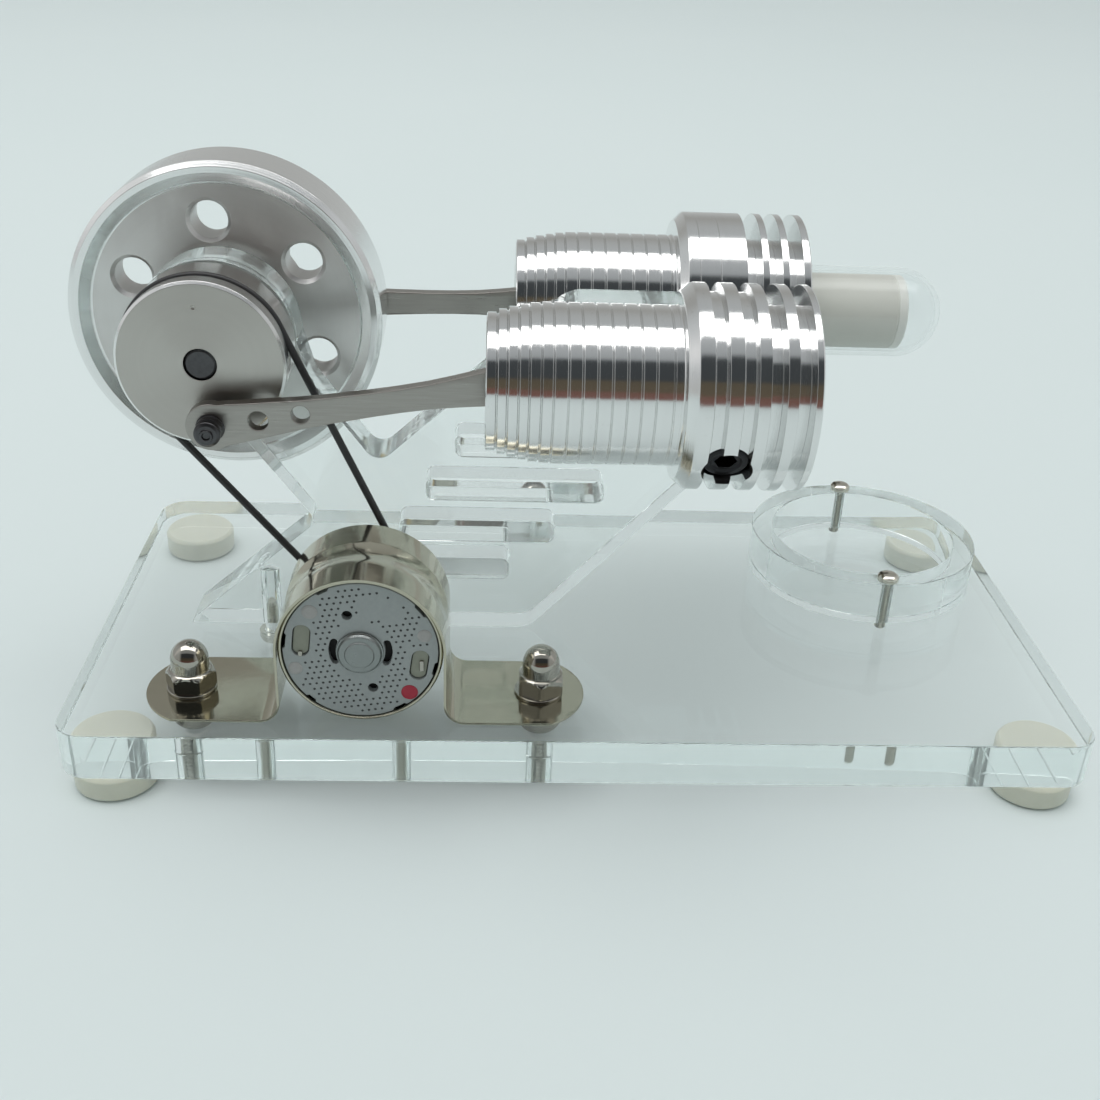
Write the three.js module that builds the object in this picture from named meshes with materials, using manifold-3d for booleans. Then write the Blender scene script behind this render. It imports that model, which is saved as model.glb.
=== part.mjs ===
// Hot-air (gamma type) Stirling engine model with a belt-driven generator on a clear acrylic base.
// Millimetres, +Z up. Origin: centre of the overall box, at the underside of the four feet.
// -Y is the front (power cylinder, crank disc and generator side), +X is the hot end.
import * as THREE from 'three';
import { mergeVertices } from 'three/addons/utils/BufferGeometryUtils.js';
import Module from 'manifold-3d';

const wasm = await Module();
wasm.setup();

// ---------------------------------------------------------------- driving dimensions
// Suffixes: _R radius, _X _Y _Z place; X0/X1, Y0/Y1 are the low and high ends along an axis.
const GAP = 0.03;                   // assembly gap between seated faces
const SHEET = 8;                    // acrylic of the base, the frame plate and the lamp ring
const FOOT_H = 4.5;
const BASE_TOP = FOOT_H + SHEET;
const PLATE_Y0 = -7.2;
const PLATE_Y1 = PLATE_Y0 + SHEET;
const ORIGIN_X = 1.25;              // the flywheel overhangs the base, so the base sits off centre

const SHAFT_X = -59.1;
const SHAFT_Z = 64.2;
const SHAFT_R = 2.5;
const SHAFT_BORE_R = SHAFT_R + GAP;
const CRANK_THROW = 8.2;
const ROD_LENGTH = 47;              // between centres
const FRONT_PIN_DEG = -77.3;
const REAR_PIN_DEG = -7;
const DISC_R = 12.75;
const DISC_Y0 = -18.4;
const DISC_Y1 = -8.1;
const FLY_Y0 = 2.8;
const FLY_Y1 = 14.8;
const BELT_Y = -14.4;

const POWER_Y = -22.3;              // axis of the power cylinder, and plane of the front rod
const DISPLACER_Y = 16.9;           // axis of the displacer cylinder, and plane of the rear rod
const CYL_Z = SHAFT_Z;              // both cylinders lie level with the shaft
const PASSAGE_X = 16.6;             // gas passage between the cylinders, through the frame plate
const PASSAGE_R = 1.2;
const STUD_X = 20.6;
const STUD_OFFSETS = [-4.2, 4.2];   // from the cylinder axis, along Z
const SCREW_R = 1.45;               // cylinder studs and frame screws
const SCREW_HOLE_R = 1.65;
const WRIST_PIN_R = 0.97;
const WRIST_HOLE_R = 1.05;

const CAN_R = 12.6;
const CAN_Y0 = -36.0;
const CAN_Y1 = -17.4;
const GEN_X = -34.8;
const GEN_Z = BASE_TOP + 0.1 + CAN_R;
const CLAMP_BOLT_OFFSET = 28.0;
const CLAMP_BOLT_X = [GEN_X - CLAMP_BOLT_OFFSET, GEN_X + CLAMP_BOLT_OFFSET];
const CLAMP_BOLT_Y = -27.7;
const CLAMP_HOLE_R = 2.15;
const STRAP_T = 0.4;

const RING_X = 56.2;
const RING_Y = 17.0;
const RING_OUTER_R = 21;
const RING_INNER_R = 17;
const RING_SCREW_OFFSETS = [-1, 1].map((side) => (side * (RING_OUTER_R + RING_INNER_R)) / 2);
const FRAME_SCREW_X = [-53.4, -30.0];
const FRAME_SCREW_Y = (PLATE_Y0 + PLATE_Y1) / 2;

// ---------------------------------------------------------------- materials
const finish = ({ color, roughness, metalness, opacity = 1 }) =>
  new THREE.MeshStandardMaterial({
    color, roughness, metalness, opacity, transparent: opacity < 1,
  });
const materials = {
  acrylic: finish({ color: 0xdfeaec, roughness: 0.05, metalness: 0, opacity: 0.35 }),
  silicone: finish({ color: 0xe8e6d4, roughness: 0.55, metalness: 0, opacity: 0.9 }),
  aluminium: finish({ color: 0xd4d7d9, roughness: 0.22, metalness: 1 }),
  steel: finish({ color: 0x8f8d86, roughness: 0.35, metalness: 1 }),
  darkSteel: finish({ color: 0x4b4d50, roughness: 0.4, metalness: 1 }),
  black: finish({ color: 0x1c1c1e, roughness: 0.45, metalness: 1 }),
  nickel: finish({ color: 0xc9c3ae, roughness: 0.15, metalness: 1 }),
  rubber: finish({ color: 0x161617, roughness: 0.6, metalness: 0 }),
  glass: finish({ color: 0xeef4f4, roughness: 0.02, metalness: 0, opacity: 0.3 }),
  brass: finish({ color: 0xc79b55, roughness: 0.3, metalness: 1 }),
  displacer: finish({ color: 0xb6b8b0, roughness: 0.5, metalness: 0.6 }),
  board: finish({ color: 0xa9b4bb, roughness: 0.6, metalness: 0.1 }),
  copper: finish({ color: 0xb06a3c, roughness: 0.35, metalness: 1 }),
  magnet: finish({ color: 0x3a3a3d, roughness: 0.7, metalness: 0.2 }),
};

// ---------------------------------------------------------------- outlines: lists of [x, y]
const toRadians = THREE.MathUtils.degToRad;
const toDegrees = THREE.MathUtils.radToDeg;

function polar(radius, angleDeg, x = 0, y = 0) {
  const angle = toRadians(angleDeg);
  return [x + radius * Math.cos(angle), y + radius * Math.sin(angle)];
}

function arc(radius, startDeg, endDeg, steps, x = 0, y = 0) {
  return Array.from({ length: steps + 1 }, (_, i) =>
    polar(radius, startDeg + ((endDeg - startDeg) * i) / steps, x, y));
}

// sector of a ring
const arcBand = (inner, outer, startDeg, endDeg, steps) => [
  ...arc(outer, startDeg, endDeg, steps),
  ...arc(inner, endDeg, startDeg, steps),
];

// closed polygon with filleted corners; corners are [x, y, fillet radius]
function rounded(corners) {
  return corners.flatMap(([x, y, fillet = 0], i) => {
    if (fillet === 0) return [[x, y]];
    const corner = new THREE.Vector2(x, y);
    const toward = ([toX, toY]) => new THREE.Vector2(toX, toY).sub(corner).normalize();
    const back = toward(corners.at(i - 1));
    const ahead = toward(corners[(i + 1) % corners.length]);
    const half = Math.acos(back.dot(ahead)) / 2;
    const centre = back.clone().add(ahead).setLength(fillet / Math.sin(half)).add(corner);
    const tangentAngle = (side) => toDegrees(
      side.clone().multiplyScalar(fillet / Math.tan(half)).add(corner).sub(centre).angle());
    const start = tangentAngle(back);
    let sweep = tangentAngle(ahead) - start;
    if (sweep > 180) sweep -= 360;
    if (sweep < -180) sweep += 360;
    const steps = Math.max(2, Math.round(Math.abs(sweep) / 22));
    return arc(fillet, start, start + sweep, steps, centre.x, centre.y);
  });
}

const roundedRect = (x0, x1, y0, y1, fillet) =>
  rounded([[x0, y0, fillet], [x1, y0, fillet], [x1, y1, fillet], [x0, y1, fillet]]);

function closedPath(points, Type = THREE.Shape) {
  const path = new Type(points.map(([x, y]) => new THREE.Vector2(x, y)));
  path.closePath();
  return path;
}

// ---------------------------------------------------------------- solids
// welds a geometry into a manifold, facing outwards
function solid(geometry) {
  const bare = geometry.clone();
  bare.deleteAttribute('normal');
  bare.deleteAttribute('uv');
  const welded = mergeVertices(bare, 1e-4);
  const { position } = welded.attributes;
  const source = welded.index.array;
  const triangles = [];
  let volume = 0;
  for (let i = 0; i < source.length; i += 3) {
    const triangle = [source[i], source[i + 1], source[i + 2]];
    if (new Set(triangle).size < 3) continue;
    triangles.push(triangle);
    const [first, second, third] = triangle.map((k) =>
      new THREE.Vector3().fromBufferAttribute(position, k));
    volume += first.dot(second.cross(third));
  }
  if (volume < 0) triangles.forEach((triangle) => triangle.reverse());
  return new wasm.Manifold(new wasm.Mesh({
    numProp: 3,
    vertProperties: new Float32Array(position.array),
    triVerts: new Uint32Array(triangles.flat()),
  }));
}

const cut = (body, ...cutters) => cutters.reduce((rest, cutter) => rest.subtract(cutter), body);

// Turned parts. A profile is [[along, radius], ...], from axis to axis or closed on itself.
const lathe = (profile, segments) =>
  new THREE.LatheGeometry(profile.map(([along, r]) => new THREE.Vector2(r, along)), segments);
const turnX = (profile, segments, y = 0, z = 0) =>
  solid(lathe(profile, segments).rotateZ(-Math.PI / 2).translate(0, y, z));
const turnY = (profile, segments, x = 0, z = 0) =>
  solid(lathe(profile, segments).translate(x, 0, z));
const turnZ = (profile, segments, x = 0, y = 0) =>
  solid(lathe(profile, segments).rotateX(Math.PI / 2).translate(x, y, 0));

const disk = (from, to, radius) => [[from, 0], [from, radius], [to, radius], [to, 0]];
const tube = (from, to, inner, outer) =>
  [[from, inner], [from, outer], [to, outer], [to, inner], [from, inner]];
const cylX = (from, to, radius, y = 0, z = 0, segments = 16) =>
  turnX(disk(from, to, radius), segments, y, z);
const cylY = (from, to, radius, x = 0, z = 0, segments = 16) =>
  turnY(disk(from, to, radius), segments, x, z);
const cylZ = (from, to, radius, x = 0, y = 0, segments = 16) =>
  turnZ(disk(from, to, radius), segments, x, y);

// each pair of bounds may come in either order
const box = (x0, x1, y0, y1, z0, z1) =>
  solid(new THREE.BoxGeometry(x1 - x0, y1 - y0, z1 - z0)
    .translate((x0 + x1) / 2, (y0 + y1) / 2, (z0 + z1) / 2));

const extrude = (points, depth) =>
  new THREE.ExtrudeGeometry(closedPath(points), { depth, bevelEnabled: false });
// outline drawn in X,Z
const extrudeY = (points, y0, y1) =>
  solid(extrude(points, y1 - y0).rotateX(Math.PI / 2).translate(0, y1, 0));
// outline drawn in X,Y
const extrudeZ = (points, z0, z1) => solid(extrude(points, z1 - z0).translate(0, 0, z0));
const hexPrism = (acrossFlats, z0, z1) =>
  extrudeZ(arc(acrossFlats / 2 / Math.cos(toRadians(30)), 30, 330, 5), z0, z1);

// cuts a cross recess into a screw head
const crossRecess = (screw, { x, y, halfWidth, halfLength, z0, z1 }) => cut(
  screw,
  box(x - halfWidth, x + halfWidth, y - halfLength, y + halfLength, z0, z1),
  box(x - halfLength, x + halfLength, y - halfWidth, y + halfWidth, z0, z1),
);

// cuts the gas passage and the two stud holes that the cylinders share with the frame plate
const drillSeat = (body, axisZ, [passageY0, passageY1], [studY0, studY1]) => cut(
  body,
  cylY(passageY0, passageY1, PASSAGE_R, PASSAGE_X, axisZ, 12),
  ...STUD_OFFSETS.map((offset) => cylY(studY0, studY1, SCREW_HOLE_R, STUD_X, axisZ + offset)),
);

// ---------------------------------------------------------------- scene
const model = new THREE.Group();
model.name = 'stirling_engine';
const engine = new THREE.Group();
engine.position.x = ORIGIN_X;
model.add(engine);

function group(x, y, z, parent = engine) {
  const child = new THREE.Group();
  child.position.set(x, y, z);
  parent.add(child);
  return child;
}

function add(parent, name, body, material) {
  const { vertProperties, triVerts } = body.getMesh();
  const geometry = new THREE.BufferGeometry();
  const positions = new Float32Array(vertProperties);
  geometry.setAttribute('position', new THREE.BufferAttribute(positions, 3));
  geometry.setIndex(new THREE.BufferAttribute(new Uint32Array(triVerts), 1));
  geometry.computeVertexNormals();
  const mesh = new THREE.Mesh(geometry, material);
  mesh.name = name;
  parent.add(mesh);
}

// ---------------------------------------------------------------- base and feet
const BASE_W = 164;
const BASE_D = 82;
const BASE_CORNER = 5;
const FOOT_R = 6.6;
const FOOT_CHAMFER = 0.9;
const FOOT_X = 74.2;
const FOOT_Y = 34.8;

function basePlate() {
  const outline = roundedRect(-BASE_W / 2, BASE_W / 2, -BASE_D / 2, BASE_D / 2, BASE_CORNER);
  const through = [FOOT_H - 1, BASE_TOP + 1];
  return cut(
    extrudeZ(outline, FOOT_H, BASE_TOP),
    ...CLAMP_BOLT_X.map((x) => cylZ(...through, CLAMP_HOLE_R, x, CLAMP_BOLT_Y)),
    ...FRAME_SCREW_X.map((x) => cylZ(...through, SCREW_HOLE_R, x, FRAME_SCREW_Y)),
    ...RING_SCREW_OFFSETS.map((offset) =>
      cylZ(BASE_TOP - 4.6, BASE_TOP + 1, 1.1, RING_X, RING_Y + offset, 12)),
  );
}
add(engine, 'base_plate', basePlate(), materials.acrylic);

const foot = () => turnZ([
  [0, 0], [0, FOOT_R - FOOT_CHAMFER], [FOOT_CHAMFER, FOOT_R],
  [FOOT_H - GAP, FOOT_R], [FOOT_H - GAP, 0],
], 20);
for (const [depthName, sideY] of [['front', -1], ['rear', 1]]) {
  for (const [sideName, sideX] of [['left', -1], ['right', 1]]) {
    const place = group(sideX * FOOT_X, sideY * FOOT_Y, 0);
    add(place, `foot_${depthName}_${sideName}`, foot(), materials.silicone);
  }
}

// ---------------------------------------------------------------- lamp ring
const lampRing = () => cut(
  turnZ(tube(GAP, SHEET, RING_INNER_R, RING_OUTER_R), 40),
  ...RING_SCREW_OFFSETS.map((y) => cylZ(-1, SHEET + 1, 1.15, 0, y, 12)),
);

function ringScrew(y) {
  const screw = turnZ([
    [-4.4, 0], [-4.2, 0.95], [SHEET + GAP, 0.95], [SHEET + GAP, 1.9],
    [SHEET + 0.8, 1.85], [SHEET + 1.3, 1.2], [SHEET + 1.3, 0],
  ], 10, 0, y);
  return crossRecess(screw, {
    x: 0, y, halfWidth: 0.25, halfLength: 1.2, z0: SHEET + 0.8, z1: SHEET + 2,
  });
}

const lamp = group(RING_X, RING_Y, BASE_TOP);
add(lamp, 'lamp_ring', lampRing(), materials.acrylic);
RING_SCREW_OFFSETS.forEach((y, i) => {
  add(lamp, `ring_screw_${i ? 'rear' : 'front'}`, ringScrew(y), materials.steel);
});

// ---------------------------------------------------------------- vertical acrylic frame plate
const BOSS_R = 12.75;
const BEARING_SEAT_R = 5.05;
// [x, z, fillet]; the boss runs from the neck's left edge over the top to its right edge
const FRAME_OUTLINE = [
  [-67.0, BASE_TOP + GAP], [-66.4, BASE_TOP + 1.2, 0.5], [-44.5, 32.7, 2.2],
  ...arc(BOSS_R, 273, -2, 25, SHAFT_X, SHAFT_Z),
  [-44.4, 57.5, 5], [-34.2, 43.4, 3], [-3.4, 71.7, 6], [29, 71.7, 4], [29, 52.8, 5],
  [-8.2, BASE_TOP + GAP, 5],
];
// [x from, x to, z of the middle]
const FRAME_SLOTS = [
  [-21.4, 11.5, 47.2], [-26.2, 3.5, 39.2], [-30.7, -4.5, 31.5], [-35.2, -12, 24.2],
];
const FRAME_SLOT_H = 4.0;
const FRAME_SLOT_FILLET = 1.4;

function framePlate() {
  const through = [PLATE_Y0 - 1, PLATE_Y1 + 1];
  const slots = FRAME_SLOTS.map(([x0, x1, z]) => extrudeY(
    roundedRect(x0, x1, z - FRAME_SLOT_H / 2, z + FRAME_SLOT_H / 2, FRAME_SLOT_FILLET),
    ...through));
  const plate = cut(
    extrudeY(rounded(FRAME_OUTLINE), PLATE_Y0, PLATE_Y1),
    ...slots,
    cylY(...through, BEARING_SEAT_R, SHAFT_X, SHAFT_Z, 32),
    ...FRAME_SCREW_X.map((x) => cylZ(BASE_TOP - 1, 22.5, SCREW_HOLE_R, x, FRAME_SCREW_Y)),
  );
  return drillSeat(plate, CYL_Z, through, through);
}
add(engine, 'frame_plate', framePlate(), materials.acrylic);

function frameScrew(x) {
  const screw = turnZ([
    [2.6, 0], [2.7, 1.9], [3.2, 2.75], [FOOT_H - GAP, 2.75],
    [FOOT_H - GAP, SCREW_R], [15.2, SCREW_R], [15.5, 1.1], [15.5, 0],
  ], 12, x, FRAME_SCREW_Y);
  return crossRecess(screw, {
    x, y: FRAME_SCREW_Y, halfWidth: 0.3, halfLength: 1.6, z0: 2, z1: 3.4,
  });
}
FRAME_SCREW_X.forEach((x, i) => {
  add(engine, `frame_screw_${i + 1}`, frameScrew(x), materials.steel);
});

// ---------------------------------------------------------------- shaft bearings in the boss
const BEARING_W = 3.9;
const BEARING_INSET = 0.02;
const BALL_R = 0.66;
const BALL_CIRCLE_R = 3.74;
const BALL_COUNT = 8;

// both rings have a V-shaped race at their middle
const bearingOuterRing = (y0, y1, middle) => turnY([
  [y0, 4.1], [y0, 5.0], [y1, 5.0], [y1, 4.1],
  [middle + 0.8, 4.1], [middle, 4.5], [middle - 0.8, 4.1], [y0, 4.1],
], 24);
const bearingInnerRing = (y0, y1, middle) => turnY([
  [y0, SHAFT_BORE_R], [y0, 3.35], [middle - 0.7, 3.35], [middle, 3.0], [middle + 0.7, 3.35],
  [y1, 3.35], [y1, SHAFT_BORE_R], [y0, SHAFT_BORE_R],
], 24);

function ballCage(middle) {
  let cage = turnY(tube(middle - 0.45, middle + 0.45, 3.5, 3.98), 24);
  for (let i = 0; i < BALL_COUNT; i++) {
    const [x, z] = polar(BALL_CIRCLE_R, (360 / BALL_COUNT) * i);
    cage = cage.add(solid(new THREE.SphereGeometry(BALL_R, 6, 4).translate(x, middle, z)));
  }
  return cage;
}

const bearings = group(SHAFT_X, 0, SHAFT_Z);
for (const [end, y0] of [
  ['front', PLATE_Y0 + BEARING_INSET],
  ['rear', PLATE_Y1 - BEARING_INSET - BEARING_W],
]) {
  const y1 = y0 + BEARING_W;
  const middle = (y0 + y1) / 2;
  const name = `bearing_${end}`;
  add(bearings, `${name}_outer_ring`, bearingOuterRing(y0, y1, middle), materials.steel);
  add(bearings, `${name}_inner_ring`, bearingInnerRing(y0, y1, middle), materials.steel);
  add(bearings, `${name}_ball_cage`, ballCage(middle), materials.steel);
}

// ---------------------------------------------------------------- shaft, flywheel, crank disc
const FLY_R = 25.4;
const FLY_HOLE_CIRCLE_R = 16;
const FLY_HOLE_R = 3;
const FLY_HOLE_DEG = 96.5;
const FLY_HOLE_COUNT = 6;
const FLY_SCREW_Y = FLY_Y1 - 2.2;
const DISC_SCREW_Y = -10.9;
const SET_SCREW_R = 1.22;
const SET_SCREW_HOLE_R = 1.35;

const crankShaft = () => turnY([
  [DISC_Y0 + 0.15, 0], [DISC_Y0 + 0.15, SHAFT_R - 0.3], [DISC_Y0 + 0.4, SHAFT_R - GAP],
  [FLY_Y1 - 0.5, SHAFT_R - GAP], [FLY_Y1 - 0.2, SHAFT_R - 0.3], [FLY_Y1 - 0.2, 0],
], 20);

function flywheel() {
  const wheel = turnY([
    // hub front and web
    [FLY_Y0 - 1.7, SHAFT_BORE_R], [FLY_Y0 - 1.7, 4.2], [FLY_Y0 - 0.4, 4.2],
    [FLY_Y0 - 0.4, 7.5], [FLY_Y0 + 1.5, 7.5], [FLY_Y0 + 1.5, 21.8],
    // rim
    [FLY_Y0, 23.7], [FLY_Y0, FLY_R - 0.8], [FLY_Y0 + 0.8, FLY_R],
    [FLY_Y1 - 0.8, FLY_R], [FLY_Y1, FLY_R - 0.8], [FLY_Y1, 22.4],
    // rear recess and hub
    [FLY_Y0 + 8, 21.4], [FLY_Y0 + 8, 12.4], [FLY_Y1, 12.0],
    [FLY_Y1, SHAFT_BORE_R], [FLY_Y0 - 1.7, SHAFT_BORE_R],
  ], 48);
  const holes = Array.from({ length: FLY_HOLE_COUNT }, (_, i) => {
    const angle = FLY_HOLE_DEG + (360 / FLY_HOLE_COUNT) * i;
    return turnY([
      [FLY_Y0 - 1, 0], [FLY_Y0 - 1, FLY_HOLE_R + 3.1], [FLY_Y0 + 2.1, FLY_HOLE_R],
      [FLY_Y0 + 9, FLY_HOLE_R], [FLY_Y0 + 9, 0],
    ], 12, ...polar(FLY_HOLE_CIRCLE_R, angle));
  });
  return cut(wheel, ...holes, cylZ(0, 13, SET_SCREW_HOLE_R, 0, FLY_SCREW_Y, 12));
}

// points up from the shaft, with a hexagon socket in its outer end
const setScrew = (outerEnd, socketFloor) => cut(
  cylZ(SHAFT_R + 0.1, outerEnd, SET_SCREW_R, 0, 0, 12),
  hexPrism(1.3, socketFloor, outerEnd + 1),
);

function crankDisc() {
  const grooveFloor = DISC_R - 1;
  const disc = turnY([
    [DISC_Y0, SHAFT_BORE_R], [DISC_Y0, DISC_R - 0.5], [DISC_Y0 + 0.5, DISC_R],
    // belt groove
    [BELT_Y - 1.0, DISC_R], [BELT_Y - 0.75, grooveFloor],
    [BELT_Y + 0.75, grooveFloor], [BELT_Y + 1.0, DISC_R],
    // rear edge and collar
    [DISC_Y1 - 0.4, DISC_R], [DISC_Y1, DISC_R - 0.4], [DISC_Y1, 4.0],
    [PLATE_Y0 - 0.1, 4.0], [PLATE_Y0 - 0.1, SHAFT_BORE_R], [DISC_Y0, SHAFT_BORE_R],
  ], 36);
  return cut(disc, cylZ(-14, 0, SET_SCREW_HOLE_R, 0, DISC_SCREW_Y, 12));
}

const crank = group(SHAFT_X, 0, SHAFT_Z);
add(crank, 'crank_shaft', crankShaft(), materials.darkSteel);
add(crank, 'flywheel', flywheel(), materials.aluminium);
add(crank, 'flywheel_set_screw',
  setScrew(7.6, 5.8).translate([0, FLY_SCREW_Y, 0]), materials.black);
add(crank, 'crank_disc', crankDisc(), materials.aluminium);
// the disc's set screw points down
add(crank, 'crank_disc_set_screw',
  setScrew(9, 7.2).rotate([0, 180, 0]).translate([0, DISC_SCREW_Y, 0]), materials.black);

// ---------------------------------------------------------------- power cylinder (front)
const POWER_X1 = 30.5;
const POWER_BORE_R = 8.0;
const POWER_BORE_END = 21;
const POWER_FIN_R = 15.3;
const PLUG_X = 18.3;
const PLUG_ANGLE = toRadians(180 + 32);   // from +Y towards +Z

// stepped cold end: radii[i] spans edges[i] to edges[i + 1]
const steps = (edges, radii) =>
  radii.flatMap((radius, i) => [[edges[i], radius], [edges[i + 1], radius]]);
const POWER_EDGES = [-16.5, -14.9, -13.3, -11.7, -10.2, -8.6, -6.9];
const POWER_RADII = [10.2, 10.75, 11.15, 11.5, 11.75, 11.95];
const POWER_PROFILE = [
  [POWER_BORE_END, 0], [POWER_BORE_END, POWER_BORE_R], [POWER_EDGES[0], POWER_BORE_R],
  ...steps(POWER_EDGES, POWER_RADII),
  [11.4, 11.95], [12.2, 14.6],
  [13.2, POWER_FIN_R], [15.2, POWER_FIN_R], [15.5, 14.0], [17.0, 14.0],
  [17.3, POWER_FIN_R], [19.3, POWER_FIN_R], [19.6, 14.0], [21.1, 14.0],
  [21.4, POWER_FIN_R], [23.1, POWER_FIN_R], [23.3, 12.3], [25.2, 12.3],
  [25.4, POWER_FIN_R], [27.0, POWER_FIN_R], [27.2, 12.3], [29.2, 12.3],
  [29.4, POWER_FIN_R], [POWER_X1, POWER_FIN_R], [POWER_X1, 0],
];

// turned about the plug's axis, which is radial to the cylinder; "along" starts at its axis
const turnPlug = (profile, segments) =>
  solid(lathe(profile, segments).rotateX(PLUG_ANGLE).translate(PLUG_X, 0, 0));

function powerCylinder() {
  const body = cut(
    turnX(POWER_PROFILE, 28),
    // flat that seats on the front of the frame plate
    box(-20, 40, PLATE_Y0 - GAP - POWER_Y, 30, -20, 20),
    turnPlug(disk(6, 11.0, 2.15), 16),
    turnPlug(disk(10.6, 20, 3.75), 24),
  );
  return drillSeat(body, 0, [6, 20], [10.4, 20]);
}

const plugScrew = () => cut(
  turnPlug([
    [8.6, 0], [8.6, 1.95], [10.7, 1.95], [10.7, 3.45], [13.5, 3.45], [13.8, 3.1], [13.8, 0],
  ], 20),
  turnPlug(disk(11.6, 15, 1.6), 6),
);

const power = group(0, POWER_Y, CYL_Z);
add(power, 'power_cylinder', powerCylinder(), materials.aluminium);
add(power, 'cylinder_plug_screw', plugScrew(), materials.black);
STUD_OFFSETS.forEach((offset, i) => {
  const stud = cylY(-11.6, 5.6, SCREW_R, STUD_X, CYL_Z + offset, 14);
  add(engine, `cylinder_stud_${i + 1}`, stud, materials.steel);
});

// ---------------------------------------------------------------- crank pins and wrist pins
const frontPin = polar(CRANK_THROW, FRONT_PIN_DEG, SHAFT_X, SHAFT_Z);
const rearPin = polar(CRANK_THROW, REAR_PIN_DEG, SHAFT_X, SHAFT_Z);
const wristX = ([x, z]) => x + Math.sqrt(ROD_LENGTH ** 2 - (CYL_Z - z) ** 2);

// ---------------------------------------------------------------- power piston
function powerPiston() {
  let piston = turnX([
    [11.5, 0], [11.5, 6.6], [-4.2, 6.6], [-4.2, 7.9], [14, 7.9], [14, 0],
  ], 28);
  // two inner bosses carry the wrist pin, with the rod between them
  for (const side of [-1, 1]) {
    const boss = box(-3, 12, side * 1.4, side * 7.2, -3, 3);
    piston = piston.add(boss.intersect(cylX(-4, 13, 7.2, 0, 0, 28)));
  }
  return cut(piston, cylY(-9, 9, WRIST_HOLE_R));
}
const pistonPlace = group(wristX(frontPin), POWER_Y, CYL_Z);
add(pistonPlace, 'power_piston', powerPiston(), materials.steel);
add(pistonPlace, 'front_wrist_pin', cylY(-7.0, 7.0, WRIST_PIN_R), materials.steel);

// ---------------------------------------------------------------- connecting rods
const ROD_T = 2;
// [distance from the crank pin, half height] along the waisted shank
const ROD_SHANK = [
  [3.4, 3.1], [7, 2.85], [11, 2.4], [13.5, 2.2], [18, 2.05],
  [28.5, 1.85], [35, 2.0], [41, 2.6], [45.2, 3.0],
];
// [distance from the crank pin, radius, segments]
const ROD_HOLES = [[0, 1.56, 16], [ROD_LENGTH, 1.1, 12], [7.2, 1.5, 12], [13.6, 1.38, 12]];

// flat dog-bone rod, from the crank pin at the origin towards +X
function connectingRod() {
  const outline = [
    ...arc(3.7, 60, 300, 10),
    ...ROD_SHANK.map(([x, half]) => [x, -half]),
    ...arc(3.1, -60, 60, 6, ROD_LENGTH),
    ...ROD_SHANK.toReversed(),
  ];
  return cut(
    extrudeY(outline, -ROD_T / 2, ROD_T / 2),
    ...ROD_HOLES.map(([x, radius, segments]) => cylY(-3, 3, radius, x, 0, segments)),
  );
}

function rodGroup([x, z], y) {
  const place = group(x, y, z);
  place.rotation.y = -Math.asin((CYL_Z - z) / ROD_LENGTH);
  return place;
}

// Both crank pins have a collar on each side of the journal, a reduced outer tip, and stop
// short of the face they stand on.
const PIN_GAP = 0.35;
const discEnd = DISC_Y0 - PIN_GAP - POWER_Y;
const frontCrankPin = () => turnY([
  [-4.7, 0], [-4.7, 0.6], [-4.3, 0.6], [-4.3, 2.0], [-1.05, 2.0],
  [-1.05, 1.48], [1.05, 1.48], [1.05, 2.1], [discEnd, 2.1], [discEnd, 0],
], 14);
const flywheelEnd = FLY_Y1 + PIN_GAP - DISPLACER_Y;
const rearCrankPin = () => turnY([
  [flywheelEnd, 0], [flywheelEnd, 2.1], [-1.05, 2.1], [-1.05, 1.48], [1.05, 1.48],
  [1.05, 2.05], [2.9, 2.0], [2.9, 0.9], [3.4, 0.8], [3.4, 0],
], 14);

const frontRod = rodGroup(frontPin, POWER_Y);
add(frontRod, 'front_rod', connectingRod(), materials.steel);
add(frontRod, 'front_crank_pin', frontCrankPin(), materials.darkSteel);
const rearRod = rodGroup(rearPin, DISPLACER_Y);
add(rearRod, 'rear_rod', connectingRod(), materials.steel);
add(rearRod, 'rear_crank_pin', rearCrankPin(), materials.darkSteel);

// ---------------------------------------------------------------- displacer cylinder (rear)
const COLD_X1 = 36.7;
const COLD_BORE_R = 6.5;
const COLD_FIN_R = 16.1;
const GLASS_SOCKET_R = 7.85;
const COLD_EDGES = [-11.8, -10.2, -8.6, -6.9, -5.3, -3.6, -1.6];
const COLD_RADII = [10.6, 11.05, 11.45, 11.75, 12.0, 12.15];
const COLD_PROFILE = [
  [COLD_EDGES[0], COLD_BORE_R], ...steps(COLD_EDGES, COLD_RADII),
  [14.6, 12.15], [15.4, 15.3],
  [16.3, COLD_FIN_R], [26.1, COLD_FIN_R], [26.3, 11.6], [28.4, 11.6],
  [28.6, COLD_FIN_R], [29.7, COLD_FIN_R], [29.9, 11.6], [31.7, 11.6],
  [31.9, COLD_FIN_R], [33.0, COLD_FIN_R], [33.2, 11.6], [35.2, 11.6],
  [35.4, COLD_FIN_R], [COLD_X1, COLD_FIN_R],
  // inside, back from the hot end: glass socket with seal groove, bush seat, open bore
  [COLD_X1, GLASS_SOCKET_R], [34.4, GLASS_SOCKET_R], [34.4, 9.5], [32.6, 9.5],
  [32.6, GLASS_SOCKET_R], [15.2, GLASS_SOCKET_R], [15.2, 3.05], [6.2, 3.05],
  [6.2, COLD_BORE_R], [COLD_EDGES[0], COLD_BORE_R],
];

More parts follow.
